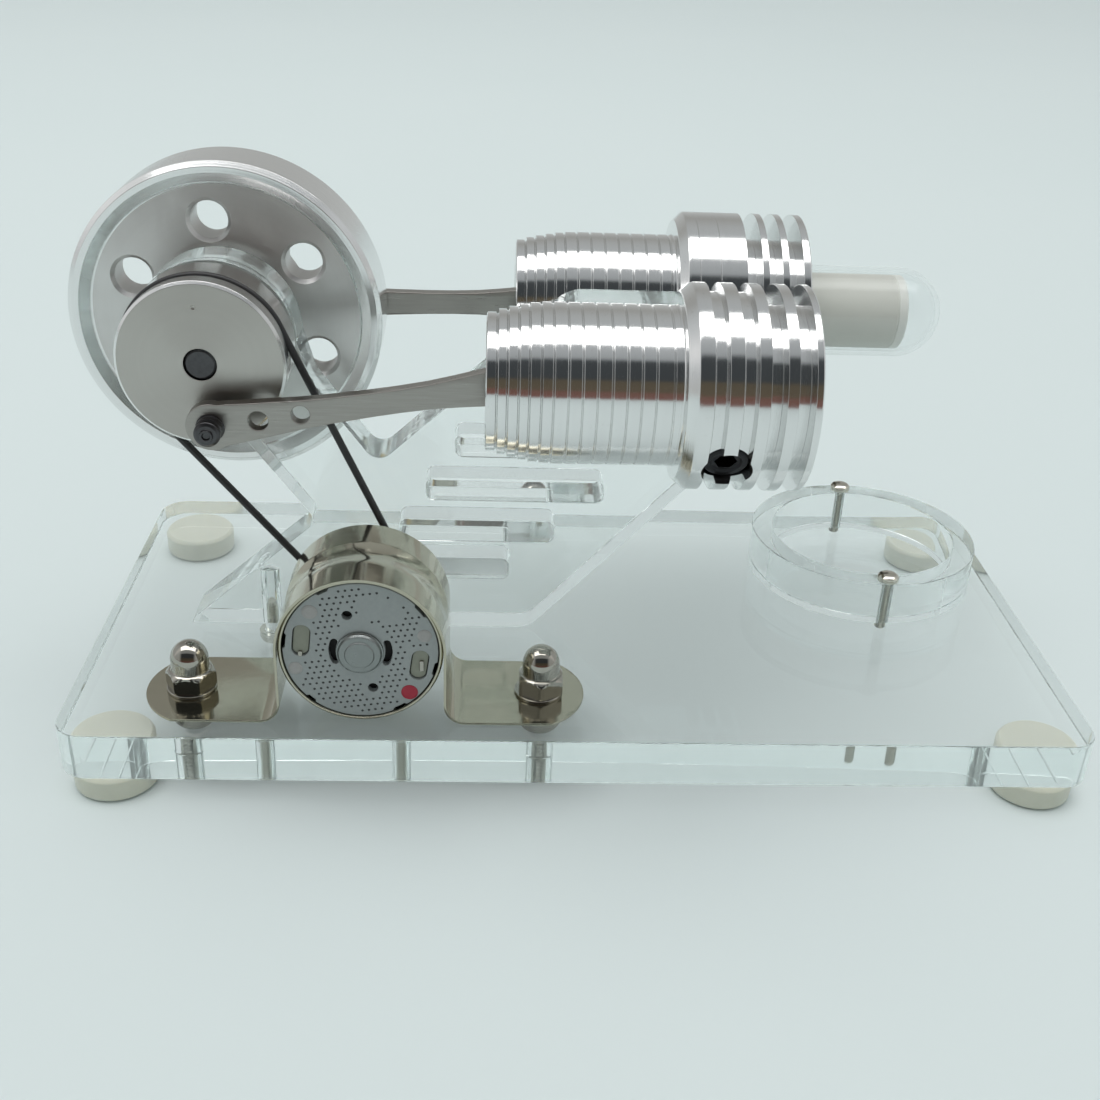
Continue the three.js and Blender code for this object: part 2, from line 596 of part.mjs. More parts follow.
function displacerCylinder() {
  // flat that seats on the rear of the frame plate
  const flat = box(-20, 40, -30, PLATE_Y1 + GAP - DISPLACER_Y, -20, 20);
  return drillSeat(cut(turnX(COLD_PROFILE, 28), flat), 0, [-20, -6], [-20, -11]);
}

const GLASS_R = 7.75;
const GLASS_WALL = 0.8;
const GLASS_X0 = 18.2;
const GLASS_X1 = 63.1;

// open at the cold end, with a hemispherical hot end
function glassTube() {
  const domeX = GLASS_X1 - GLASS_R;
  const inner = GLASS_R - GLASS_WALL;
  return turnX([
    ...arc(inner, 0, 90, 5, domeX),
    [GLASS_X0, inner], [GLASS_X0, GLASS_R],
    ...arc(GLASS_R, 90, 0, 5, domeX),
  ], 24);
}

const coldEnd = group(0, DISPLACER_Y, CYL_Z);
add(coldEnd, 'displacer_cylinder', displacerCylinder(), materials.aluminium);
add(coldEnd, 'gland_bush', turnX(tube(6.4, 15.0, 1.32, 3.0), 20), materials.brass);
add(coldEnd, 'glass_seal_ring', turnX(tube(32.8, 34.2, 7.95, 9.3), 24), materials.rubber);
add(coldEnd, 'glass_hot_tube', glassTube(), materials.glass);

// ---------------------------------------------------------------- displacer, its rod and clevis
const DISPLACER_R = 6.4;
const DISPLACER_X0 = 34;
const DISPLACER_X1 = 56;
const DISPLACER_CHAMFER = 0.3;
const DISPLACER_ROD_R = 1.25;
const DISPLACER_ROD_HOLE_R = 1.32;
const rearWristX = wristX(rearPin);

const displacer = () => cut(
  turnX([
    [DISPLACER_X0, 0], [DISPLACER_X0, DISPLACER_R - DISPLACER_CHAMFER],
    [DISPLACER_X0 + DISPLACER_CHAMFER, DISPLACER_R],
    [DISPLACER_X1 - DISPLACER_CHAMFER, DISPLACER_R],
    [DISPLACER_X1, DISPLACER_R - DISPLACER_CHAMFER], [DISPLACER_X1, 0],
  ], 24),
  cylX(DISPLACER_X0 - 1, DISPLACER_X0 + 6, DISPLACER_ROD_HOLE_R),
);

const displacerClevis = () => cut(
  turnX([
    [rearWristX - 3.2, 0], [rearWristX - 3.2, 4.2], [rearWristX - 2.6, 4.7],
    [rearWristX + 8, 4.7], [rearWristX + 8.6, 4.2], [rearWristX + 8.6, 0],
  ], 20),
  box(rearWristX - 6, rearWristX + 3.8, -1.4, 1.4, -8, 8),
  cylY(-8, 8, WRIST_HOLE_R, rearWristX),
  cylX(rearWristX + 4.2, rearWristX + 10, DISPLACER_ROD_HOLE_R),
);

const displacerPlace = group(0, DISPLACER_Y, CYL_Z);
add(displacerPlace, 'displacer', displacer(), materials.displacer);
add(displacerPlace, 'displacer_rod',
  cylX(rearWristX + 4.4, DISPLACER_X0 + 5.6, DISPLACER_ROD_R), materials.steel);
add(displacerPlace, 'displacer_clevis', displacerClevis(), materials.steel);
add(displacerPlace, 'rear_wrist_pin',
  cylY(-4.3, 4.3, WRIST_PIN_R, rearWristX), materials.steel);

// ---------------------------------------------------------------- generator
const CAN_INNER_R = 11.8;
const GEN_BORE_R = 1.03;            // parts pressed on the generator shaft
const ARMATURE_Y0 = CAN_Y0 + 6.0;
const ARMATURE_Y1 = CAN_Y1 - 3.2;

const generatorCan = () => turnY([
  [CAN_Y0 + 0.1, CAN_INNER_R], [CAN_Y0 + 0.1, CAN_R - 0.25], [CAN_Y0 + 0.35, CAN_R],
  [CAN_Y1 - 1.0, CAN_R], [CAN_Y1, CAN_R - 1.0], [CAN_Y1, 2.1],
  [CAN_Y1 - 0.8, 2.1], [CAN_Y1 - 0.8, CAN_INNER_R], [CAN_Y0 + 0.1, CAN_INNER_R],
], 36);

function endCap() {
  const y0 = CAN_Y0 + 0.2;
  const through = [CAN_Y0 - 1, CAN_Y0 + 3];
  const window = (outline) => extrudeY(outline, ...through);
  return cut(
    turnY([
      [y0, 1.35], [y0, 11.7], [CAN_Y0 + 1.4, 11.7], [CAN_Y0 + 1.4, 4.0],
      [CAN_Y0 + 2.6, 4.0], [CAN_Y0 + 2.6, 1.35], [y0, 1.35],
    ], 32),
    // vent slots on both sides of the bearing
    window(arcBand(3.75, 4.85, 158, 205, 5)),
    window(arcBand(3.75, 4.85, -27, 20, 5)),
    cylY(...through, 0.78, -1.88, 6.3, 10),
    cylY(...through, 0.78, 1.75, -6.6, 10),
    // oval terminal windows
    window(rounded([[-10.6, -0.8, 1.2], [-8.0, -1.1, 1.2], [-7.3, 4.3, 1.2], [-9.9, 4.6, 1.2]])),
    window(rounded([[7.2, -4.8, 1.2], [9.8, -5.2, 1.2], [10.6, 0.0, 1.2], [8.0, 0.4, 1.2]])),
  );
}

const frontBush = () => turnY([
  [CAN_Y0 - 0.95, 0], [CAN_Y0 - 0.95, 2.3], [CAN_Y0 - 0.7, 2.4], [CAN_Y0 - 0.7, 3.2],
  [CAN_Y0 - 0.15, 3.6], [CAN_Y0 + 0.17, 3.6], [CAN_Y0 + 0.17, 1.3], [CAN_Y0 + 3.6, 1.3],
  [CAN_Y0 + 3.6, 1.05], [CAN_Y0 + 0.6, 1.05], [CAN_Y0 + 0.6, 0],
], 16);

const terminal = (x, z) =>
  box(x - 0.4, x + 0.4, CAN_Y0 + 0.3, CAN_Y0 + 4.2, z - 0.7, z + 0.7);
const magnet = (startDeg) =>
  extrudeY(arcBand(9.3, 11.7, startDeg, startDeg + 110, 10), CAN_Y0 + 4.6, CAN_Y1 - 1.4);

// three poles, each a neck with a curved shoe
function armature() {
  let core = cylY(ARMATURE_Y0, ARMATURE_Y1, 3.0, 0, 0, 20);
  for (let i = 0; i < 3; i++) {
    const neck = box(-0.9, 0.9, ARMATURE_Y0, ARMATURE_Y1, 2, 7.4);
    const shoe = extrudeY(arcBand(7.2, 8.7, 50, 130, 6), ARMATURE_Y0, ARMATURE_Y1);
    core = core.add(neck.add(shoe).rotate([0, -120 * i, 0]));
  }
  return cut(core, cylY(CAN_Y0, CAN_Y1, GEN_BORE_R));
}

const pulley = () => turnY([
  [-15.8, GEN_BORE_R], [-15.8, 6.8], [-15.4, 6.8],
  [BELT_Y - 0.75, 5.55], [BELT_Y + 0.75, 5.55],
  [-13.4, 6.8], [-13.0, 6.8], [-13.0, GEN_BORE_R], [-15.8, GEN_BORE_R],
], 24);

const generator = group(GEN_X, 0, GEN_Z);
add(generator, 'generator_can', generatorCan(), materials.nickel);
add(generator, 'generator_end_cap', endCap(), materials.board);
add(generator, 'generator_front_bush', frontBush(), materials.steel);
add(generator, 'generator_rear_bush',
  turnY(tube(CAN_Y1 - 2.2, CAN_Y1 + 0.3, 1.06, 2.05), 16), materials.brass);
add(generator, 'generator_terminal_left', terminal(-9.2, 0.2), materials.brass);
add(generator, 'generator_terminal_right', terminal(9.0, -2.6), materials.brass);
add(generator, 'generator_magnet_upper', magnet(35), materials.magnet);
add(generator, 'generator_magnet_lower', magnet(215), materials.magnet);

const rotor = group(0, 0, 0, generator);
add(rotor, 'generator_armature', armature(), materials.copper);
add(rotor, 'generator_commutator',
  turnY(tube(CAN_Y0 + 3.9, CAN_Y0 + 5.8, GEN_BORE_R, 2.0), 16), materials.copper);
add(rotor, 'generator_shaft', cylY(CAN_Y0 + 0.8, -12.8, 0.99), materials.steel);
add(rotor, 'generator_pulley', pulley(), materials.brass);

// ---------------------------------------------------------------- belt: one loop in two grooves
const BELT_R = 0.6;
const BELT_DISC_R = 12.48;          // centreline radius round the crank disc
const BELT_PULLEY_R = 6.29;         // centreline radius round the pulley

// closed loop at an offset outside the belt's centreline
function beltLoop(offset, Type) {
  const across = GEN_X - SHAFT_X;
  const rise = GEN_Z - SHAFT_Z;
  const heading = toDegrees(Math.atan2(rise, across));
  const tangent = toDegrees(Math.acos((BELT_DISC_R - BELT_PULLEY_R) / Math.hypot(across, rise)));
  const before = heading - tangent;
  const after = heading + tangent;
  return closedPath([
    ...arc(BELT_DISC_R + offset, after, before + 360, 22, SHAFT_X, SHAFT_Z),
    ...arc(BELT_PULLEY_R + offset, before, after, 10, GEN_X, GEN_Z),
  ], Type);
}

function driveBelt() {
  const core = BELT_R * 0.44;       // half width of the flats of the octagonal section
  const edge = BELT_R - core;
  const section = beltLoop(core, THREE.Shape);
  section.holes.push(beltLoop(-core, THREE.Path));
  const belt = new THREE.ExtrudeGeometry(section, {
    depth: 2 * core,
    bevelEnabled: true,
    bevelThickness: edge,
    bevelSize: edge,
    bevelSegments: 1,
  });
  return solid(belt.rotateX(Math.PI / 2).translate(0, BELT_Y + core, 0));
}
add(engine, 'drive_belt', driveBelt(), materials.rubber);

// ---------------------------------------------------------------- generator clamp
const STRAP_Y0 = -36.8;
const STRAP_Y1 = -18.8;
const STRAP_BEND_R = 3.0;
const EAR_REACH = 36.2;
// round ends of the ears, cut off by the clamp's straight front and rear edges
const EAR_OFFSET = 24.7;
const EAR_Y = -27.6;
const EAR_R = 10.4;

function generatorClamp() {
  const inner = CAN_R + 0.06;
  const outer = inner + STRAP_T;
  const underside = BASE_TOP + GAP;
  const bendX = outer + STRAP_BEND_R;
  const bendZ = underside + STRAP_T + STRAP_BEND_R;
  // one face of the strap, from the right ear's tip up to the top of the arch
  const face = (earZ, bend, arch) => [
    [EAR_REACH, earZ],
    ...arc(bend, 270, 180, 5, bendX, bendZ),
    ...arc(arch, 0, 90, 12, 0, GEN_Z),
  ];
  const upper = face(underside + STRAP_T, STRAP_BEND_R, outer);
  const lower = face(underside, STRAP_BEND_R + STRAP_T, inner);
  // the left half leaves out the point at the top of the arch
  const mirrored = (points) => points.slice(0, -1).map(([x, z]) => [-x, z]);
  const outline = [
    ...upper, ...mirrored(upper).reverse(), ...mirrored(lower), ...lower.toReversed(),
  ].map(([x, z]) => [GEN_X + x, z]);

  let clamp = extrudeY(outline, STRAP_Y0, STRAP_Y1);
  for (const side of [-1, 1]) {
    const earX = GEN_X + side * EAR_OFFSET;
    const boltX = GEN_X + side * CLAMP_BOLT_OFFSET;
    const outsideEar = cut(
      box(earX, GEN_X + side * 40, STRAP_Y0 - 3, STRAP_Y1 + 3, BASE_TOP - 1, BASE_TOP + 3),
      cylZ(BASE_TOP - 2, BASE_TOP + 4, EAR_R, earX, EAR_Y, 32),
    );
    const boltHole = cylZ(BASE_TOP - 1, BASE_TOP + 3, CLAMP_HOLE_R, boltX, CLAMP_BOLT_Y);
    clamp = cut(clamp, outsideEar, boltHole);
  }
  return clamp;
}
add(engine, 'generator_clamp', generatorClamp(), materials.nickel);

// ---------------------------------------------------------------- clamp bolts, washers, dome nuts
const WASHER_Z0 = BASE_TOP + GAP + STRAP_T + GAP;
const WASHER_Z1 = WASHER_Z0 + 0.5;
const NUT_Z = WASHER_Z1 + GAP;

function clampBolt() {
  const bolt = turnZ([
    [2.1, 0], [2.2, 2.0], [2.9, 3.3], [FOOT_H - GAP, 3.5], [FOOT_H - GAP, 1.95],
    [NUT_Z + 5.4, 1.95], [NUT_Z + 5.8, 1.5], [NUT_Z + 5.8, 0],
  ], 14);
  return crossRecess(bolt, { x: 0, y: 0, halfWidth: 0.35, halfLength: 1.9, z0: 1.5, z1: 3.1 });
}

// [height above the nut's seat, radius]
const NUT_CHAMFER = [
  [0, 0], [0, 3.7], [0.35, 4.05], [2.4, 4.05], [3.05, 3.4], [3.2, 3.2], [3.2, 0],
];
const NUT_DOME = [[2, 0], [2, 3.0], [5.0, 3.0], [6.3, 2.7], [7.35, 1.95], [7.9, 1.0], [8, 0]];

function domeNut(turnDeg) {
  const turned = (profile) => turnZ(profile.map(([z, radius]) => [NUT_Z + z, radius]), 18);
  const nut = hexPrism(7, NUT_Z, NUT_Z + 3.2).intersect(turned(NUT_CHAMFER)).add(turned(NUT_DOME));
  return cut(nut, cylZ(NUT_Z - 1, NUT_Z + 6.1, 2.02, 0, 0, 14)).rotate([0, 0, turnDeg]);
}

// the right washer sits a little off its bolt's axis
[['left', 0, 0], ['right', -0.3, 30]].forEach(([side, washerShift, nutTurnDeg], i) => {
  const place = group(CLAMP_BOLT_X[i], CLAMP_BOLT_Y, 0);
  const washer = turnZ(tube(WASHER_Z0, WASHER_Z1, 2.3, 3.95), 20, washerShift);
  add(place, `clamp_bolt_${side}`, clampBolt(), materials.nickel);
  add(place, `clamp_washer_${side}`, washer, materials.nickel);
  add(place, `dome_nut_${side}`, domeNut(nutTurnDeg), materials.nickel);
});

export default model;
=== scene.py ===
# A small hot-air engine on a clear base, with a belt-driven generator.
# The feet stand on z = 0 and +Z is up. The front is -Y. Both cylinders lie along X with the
# hot end at the right (+X), and the crank shaft lies along Y at the left (-X).
# Sizes are in millimetres, with x measured from the base centre.
import bpy
import bmesh
from math import acos, asin, atan2, cos, dist, hypot, pi, radians, sin, sqrt, tan
from mathutils import Matrix, Vector
from mathutils.geometry import tessellate_polygon

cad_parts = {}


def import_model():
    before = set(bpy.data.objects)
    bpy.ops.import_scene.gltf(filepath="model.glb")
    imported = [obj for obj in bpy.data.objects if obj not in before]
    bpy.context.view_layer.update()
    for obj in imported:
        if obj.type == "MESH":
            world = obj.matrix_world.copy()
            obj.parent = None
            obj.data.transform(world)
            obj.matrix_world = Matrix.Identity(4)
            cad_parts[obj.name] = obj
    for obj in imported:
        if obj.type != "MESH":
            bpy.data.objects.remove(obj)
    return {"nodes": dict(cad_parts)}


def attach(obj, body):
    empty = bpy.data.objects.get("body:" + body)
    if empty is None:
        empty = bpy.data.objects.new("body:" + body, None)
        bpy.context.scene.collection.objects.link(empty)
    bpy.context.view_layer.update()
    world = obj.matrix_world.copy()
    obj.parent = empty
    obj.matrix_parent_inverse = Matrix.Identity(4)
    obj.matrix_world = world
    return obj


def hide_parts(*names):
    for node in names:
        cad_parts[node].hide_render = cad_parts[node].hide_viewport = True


cad_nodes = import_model()["nodes"]
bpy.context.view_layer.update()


def polar(x, y, radius, degrees):
    return (x + radius * cos(radians(degrees)), y + radius * sin(radians(degrees)))


# ---------------------------------------------------------------- driving sizes
MM = 0.001
BASE_X = 1.25                               # base centre from the row origin
GAP = 0.03                                  # clearance between touching pieces
BASE_HALF_X, BASE_HALF_Y = 82.0, 41.0
BASE_BOTTOM, BASE_TOP = 4.5, 12.5
SHAFT_X, SHAFT_Z = -59.1, 64.2
CYLINDER_Z = SHAFT_Z
POWER_Y, DISPLACER_Y = -22.3, 16.9
GEN_X, GEN_Z = -34.8, 25.2
UPRIGHT_Y0, UPRIGHT_Y1 = -7.2, 0.8
WHEEL_Y0, WHEEL_Y1 = 2.8, 14.8
DISC_Y0, DISC_Y1 = -18.4, -8.1
BELT_Y = -14.4
CRANK_RADIUS, ROD_LENGTH = 8.2, 47.0
FRONT_PIN = polar(SHAFT_X, SHAFT_Z, CRANK_RADIUS, -77.3)
REAR_PIN = polar(SHAFT_X, SHAFT_Z, CRANK_RADIUS, -7)
CLAMP_BOLT_DX, CLAMP_BOLT_Y = 28.0, -27.7
CLAMP_BOLT_X = (GEN_X - CLAMP_BOLT_DX, GEN_X + CLAMP_BOLT_DX)
FRAME_SCREW_X, FRAME_SCREW_Y = (-53.4, -30.0), (UPRIGHT_Y0 + UPRIGHT_Y1) / 2
FRAME_SCREW_HOLE = 1.68
RING_X, RING_Y, RING_SCREW_DY = 56.2, 17.0, 19
# a point on each axis
SHAFT = (SHAFT_X, 0, SHAFT_Z)
GENERATOR = (GEN_X, 0, GEN_Z)
POWER = (0, POWER_Y, CYLINDER_Z)
DISPLACER = (0, DISPLACER_Y, CYLINDER_Z)


# ---------------------------------------------------------------- flat paths
def arc(x, y, radius, start, end, steps):
    """steps + 1 points from start to end, in degrees."""
    return [polar(x, y, radius, start + (end - start) * i / steps) for i in range(steps + 1)]


def circle(x, y, radius, count):
    turns = [2 * pi * i / count for i in range(count)]
    return [(x + radius * cos(turn), y + radius * sin(turn)) for turn in turns]


def rectangle(x0, y0, x1, y1, fillet):
    return [(x0, y0, fillet), (x1, y0, fillet), (x1, y1, fillet), (x0, y1, fillet)]


def rotated(x, y, degrees):
    c, s = cos(radians(degrees)), sin(radians(degrees))
    return x * c - y * s, x * s + y * c


def rounded(points, closed=True, step=12.0):
    """Path through (x, y) or (x, y, fillet radius) points; step is degrees per fillet edge."""
    path, count = [], len(points)
    for i, point in enumerate(points):
        radius = point[2] if len(point) > 2 else 0.0
        if radius <= 0 or (not closed and i in (0, count - 1)):
            path.append(point[:2])
            continue
        corner = Vector(point[:2])
        back = Vector(points[i - 1][:2]) - corner
        ahead = Vector(points[(i + 1) % count][:2]) - corner
        back_length, ahead_length = back.length, ahead.length
        if back_length < 1e-9 or ahead_length < 1e-9:
            path.append(point[:2])
            continue
        back /= back_length
        ahead /= ahead_length
        half = acos(max(-1.0, min(1.0, back.dot(ahead)))) / 2
        if half > radians(88.5):            # almost straight
            path.append(point[:2])
            continue
        tangent = radius / tan(half)
        longest = 0.48 * min(back_length, ahead_length)
        if tangent > longest:
            tangent = longest
            radius = tangent * tan(half)
        centre = corner + (back + ahead).normalized() * (radius / sin(half))
        first, last = corner + back * tangent, corner + ahead * tangent
        start = atan2(first.y - centre.y, first.x - centre.x)
        sweep = atan2(last.y - centre.y, last.x - centre.x) - start
        while sweep > pi:
            sweep -= 2 * pi
        while sweep < -pi:
            sweep += 2 * pi
        steps = max(2, int(round(abs(sweep) / radians(step))))
        for j in range(steps + 1):
            angle = start + sweep * j / steps
            path.append((centre.x + radius * cos(angle), centre.y + radius * sin(angle)))
    return path


def soften(profile, radius=0.12):
    """Round the corners of an (along, radius[, fillet]) profile that state no fillet.

    A profile that ends on its first point is closed.
    """
    points = [p if len(p) > 2 else (*p, radius if p[1] > 1e-6 else 0.0) for p in profile]
    if profile[0] == profile[-1]:
        path = rounded(points[:-1], True, 30.0)
        return path + [path[0]]
    return rounded(points, False, 30.0)


def shifted(profile, by):
    return [(by + along, *rest) for along, *rest in profile]


def signed_area(loop):
    following = loop[1:] + loop[:1]
    return 0.5 * sum(a[0] * b[1] - b[0] * a[1] for a, b in zip(loop, following))


def inset(loop, depth):
    """Move a loop towards its left."""
    moved = []
    for i, point in enumerate(loop):
        here = Vector(point)
        arriving = here - Vector(loop[i - 1])
        leaving = Vector(loop[(i + 1) % len(loop)]) - here
        if arriving.length < 1e-9 or leaving.length < 1e-9:
            moved.append((here.x, here.y))
            continue
        arriving.normalize()
        leaving.normalize()
        normal = Vector((-arriving.y, arriving.x))
        middle = normal + Vector((-leaving.y, leaving.x))
        if middle.length < 1e-6:
            middle = normal
        middle.normalize()
        reach = depth / max(0.3, middle.dot(normal))
        moved.append((here.x + middle.x * reach, here.y + middle.y * reach))
    return moved


# ---------------------------------------------------------------- mesh helpers
def add_vertex(bm, x, y, z):
    return bm.verts.new(((x + BASE_X) * MM, y * MM, z * MM))


def shade(bm, sharp):
    """Smooth faces, with an edge sharp where it turns by more than sharp degrees,
    or where a big flat face meets a narrow rounding."""
    for face in bm.faces:
        face.smooth = True
    for edge in bm.edges:
        if len(edge.link_faces) != 2:
            edge.smooth = False
            continue
        angle = edge.calc_face_angle(0.0)
        small, large = sorted(face.calc_area() for face in edge.link_faces)
        uneven = angle > radians(4.0) and large > 7.0 * small
        edge.smooth = not (angle > radians(sharp) or uneven)


def link_mesh(bm, name):
    mesh = bpy.data.meshes.new(name)
    bm.to_mesh(mesh)
    bm.free()
    ob = bpy.data.objects.new(name, mesh)
    bpy.context.scene.collection.objects.link(ob)
    return ob


def finish_mesh(bm, name, material, sharp=28.0, recalc=True):
    if recalc:
        bmesh.ops.recalc_face_normals(bm, faces=bm.faces[:])
    shade(bm, sharp)
    ob = link_mesh(bm, name)
    ob.data.materials.append(material)
    return ob


def place(ob, body, slot, *replaced):
    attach(ob, body)
    if replaced:
        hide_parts(*replaced)


def lathe_bm(profile, axis, centre, segments, radius_at=None):
    """Turn an (along, radius) profile about an axis through centre.

    A profile that ends on its first point closes on itself.
    radius_at(along, radius, angle) may change the radius.
    """
    bm = bmesh.new()
    closed = dist(profile[0], profile[-1]) < 1e-6
    rows = []
    for along, radius in (profile[:-1] if closed else profile):
        points = []
        if radius <= 1e-6:
            points.append((0.0, 0.0))
        else:
            for j in range(segments):
                angle = 2 * pi * j / segments
                reach = radius_at(along, radius, angle) if radius_at else radius
                points.append((reach * cos(angle), reach * sin(angle)))
        row = []
        for p, q in points:
            offset = {"X": (along, p, q), "Y": (p, along, q), "Z": (p, q, along)}[axis]
            row.append(add_vertex(bm, *(c + o for c, o in zip(centre, offset))))
        rows.append(row)
    pairs = list(zip(rows, rows[1:])) + ([(rows[-1], rows[0])] if closed else [])
    for low, high in pairs:
        for j in range(segments):
            k = (j + 1) % segments
            if len(low) == 1:
                bm.faces.new((low[0], high[j], high[k]))
            elif len(high) == 1:
                bm.faces.new((low[j], high[0], low[k]))
            else:
                bm.faces.new((low[j], high[j], high[k], low[k]))
    return bm


def lathe(name, profile, axis, centre, material, segments, radius_at=None, sharp=28.0):
    bm = lathe_bm(profile, axis, centre, segments, radius_at)
    return finish_mesh(bm, name, material, sharp)


def bore(start, end, radius, axis, centre, material, segments):
    """A cutter for a straight round hole."""
    profile = [(start, 0), (start, radius), (end, radius), (end, 0)]
    return lathe("cutter", profile, axis, centre, material, segments)


def plate_bm(outer, holes, low, high, bevel, to_space):
    """A flat plate with rounded edges; to_space(u, v, thickness) gives x, y, z."""
    loops = [outer if signed_area(outer) > 0 else outer[::-1]]
    loops += [hole if signed_area(hole) < 0 else hole[::-1] for hole in holes]
    bm = bmesh.new()
    steps = 3
    levels = []                             # (height, inset)
    for k in range(steps + 1):
        angle = k / steps * pi / 2
        levels.append((low + bevel * (1 - cos(angle)), bevel * (1 - sin(angle))))
    levels += [(high - (height - low), depth) for height, depth in reversed(levels)]
    outlines, rings = [], []
    for height, depth in levels:
        outline = [inset(loop, depth) if depth > 1e-9 else loop for loop in loops]
        outlines.append(outline)
        rings.append([[add_vertex(bm, *to_space(u, v, height)) for u, v in loop]
                      for loop in outline])
    for ring, next_ring in zip(rings, rings[1:]):
        for a, b in zip(ring, next_ring):
            for j in range(len(a)):
                k = (j + 1) % len(a)
                bm.faces.new((a[j], a[k], b[k], b[j]))
    for end, order in ((0, -1), (-1, 1)):
        triangles = tessellate_polygon([[Vector((u, v, 0)) for u, v in loop]
                                        for loop in outlines[end]])
        vertices = [vertex for loop in rings[end] for vertex in loop]
        for triangle in triangles:
            try:
                bm.faces.new([vertices[i] for i in triangle[::order]])
            except ValueError:              # a repeated triangle, or one with a repeated corner
                pass
    return bm


def upright_plane(u, v, thickness):
    return u, thickness, v


def level_plane(u, v, thickness):
    return u, v, thickness


def plate(name, outer, holes, low, high, bevel, to_space, material):
    bm = plate_bm(outer, holes, low, high, bevel, to_space)
    return finish_mesh(bm, name, material, sharp=12.5)


def cut(ob, cutters, sharp=28.0):
    """Subtract the cutters from ob and remove them."""
    for cutter in cutters:
        modifier = ob.modifiers.new("cut", "BOOLEAN")
        modifier.operation = "DIFFERENCE"
        modifier.solver = "EXACT"
        modifier.object = cutter
    bpy.context.view_layer.update()
    depsgraph = bpy.context.evaluated_depsgraph_get()
    mesh = bpy.data.meshes.new_from_object(ob.evaluated_get(depsgraph))
    ob.modifiers.clear()
    old = ob.data
    ob.data = mesh
    bpy.data.meshes.remove(old)
    for cutter in cutters:
        bpy.data.objects.remove(cutter)
    bm = bmesh.new()
    bm.from_mesh(mesh)
    bmesh.ops.remove_doubles(bm, verts=bm.verts[:], dist=2e-7)
    bmesh.ops.dissolve_degenerate(bm, edges=bm.edges[:], dist=2e-7)
    shade(bm, sharp)
    bm.to_mesh(mesh)
    bm.free()
    return ob


def join(name, parts):
    """Join parts that have one material each."""
    materials, bm = [], bmesh.new()
    for part in parts:
        material = part.data.materials[0]
        if material not in materials:
            materials.append(material)
        count = len(bm.faces)
        bm.from_mesh(part.data)
        bm.faces.ensure_lookup_table()
        for face in bm.faces[count:]:
            face.material_index = materials.index(material)
        bpy.data.objects.remove(part)
    joined = link_mesh(bm, name)
    for material in materials:
        joined.data.materials.append(material)
    return joined


def second_finish(ob, material, test):
    """Give the faces whose centre in metres passes the test another material."""
    ob.data.materials.append(material)
    for face in ob.data.polygons:
        if test(face.center):
            face.material_index = len(ob.data.materials) - 1


def limit_y(ob, choose, y):
    """Flatten a side against the plane y; choose is min or max."""
    for vertex in ob.data.vertices:
        vertex.co.y = choose(vertex.co.y, y * MM)


# ---------------------------------------------------------------- screws
def thread_radius(start, end, core, outer, pitch):
    """Radius function of a helical thread that fades out at both ends."""
    depth = outer - core

    def radius_at(along, radius, angle):
        if along < start - 1e-6 or along > end + 1e-6 or abs(radius - outer) > 1e-6:
            return radius
        phase = ((along - start) / pitch - angle / (2 * pi)) % 1.0
        crest = min(1.0, max(0.0, 1.25 * abs(2 * phase - 1) - 0.08))
        fade = max(0.0, min(1.0, (along - start) / (0.6 * pitch), (end - along) / (0.6 * pitch)))
        return outer - depth * (1 - crest) * fade - depth * 0.5 * (1 - fade)
    return radius_at


def cross_cutter(centre, reach, z0, z1, width, material):
    """A cutter for a cross recess. It lies BASE_X to the left of the screw's axis."""
    r, a = reach, width / 2
    cross = [(-r, -a), (-a, -a), (-a, -r), (a, -r), (a, -a), (r, -a),
             (r, a), (a, a), (a, r), (-a, r), (-a, a), (-r, a)]
    bm = bmesh.new()
    low, high = [[add_vertex(bm, x + centre[0] - BASE_X, y + centre[1], z + centre[2])
                  for x, y in cross] for z in (z0, z1)]
    for i in range(12):
        j = (i + 1) % 12
        bm.faces.new((low[i], low[j], high[j], high[i]))
    for quad in ((0, 1, 10, 11), (2, 3, 4, 1), (4, 5, 6, 7), (10, 7, 8, 9), (1, 4, 7, 10)):
        bm.faces.new([high[k] for k in quad])
        bm.faces.new([low[k] for k in reversed(quad)])
    return finish_mesh(bm, "cutter", material)


def screw(name, centre, below, thread, above, recess, material, segments):
    """A threaded piece along Z: thread is (start, end, core, outer, pitch), below and above
    are the profile on either side of it, recess is (reach, bottom, top, arm width)."""
    start, end, _, outer, pitch = thread
    count = max(2, int(round((end - start) / pitch * 6)))
    rows = [(start + (end - start) * i / count, outer) for i in range(count + 1)]
    piece = lathe(name, below + rows + above, "Z", centre, material, segments,
                  thread_radius(*thread))
    return cut(piece, [cross_cutter(centre, *recess, material)])


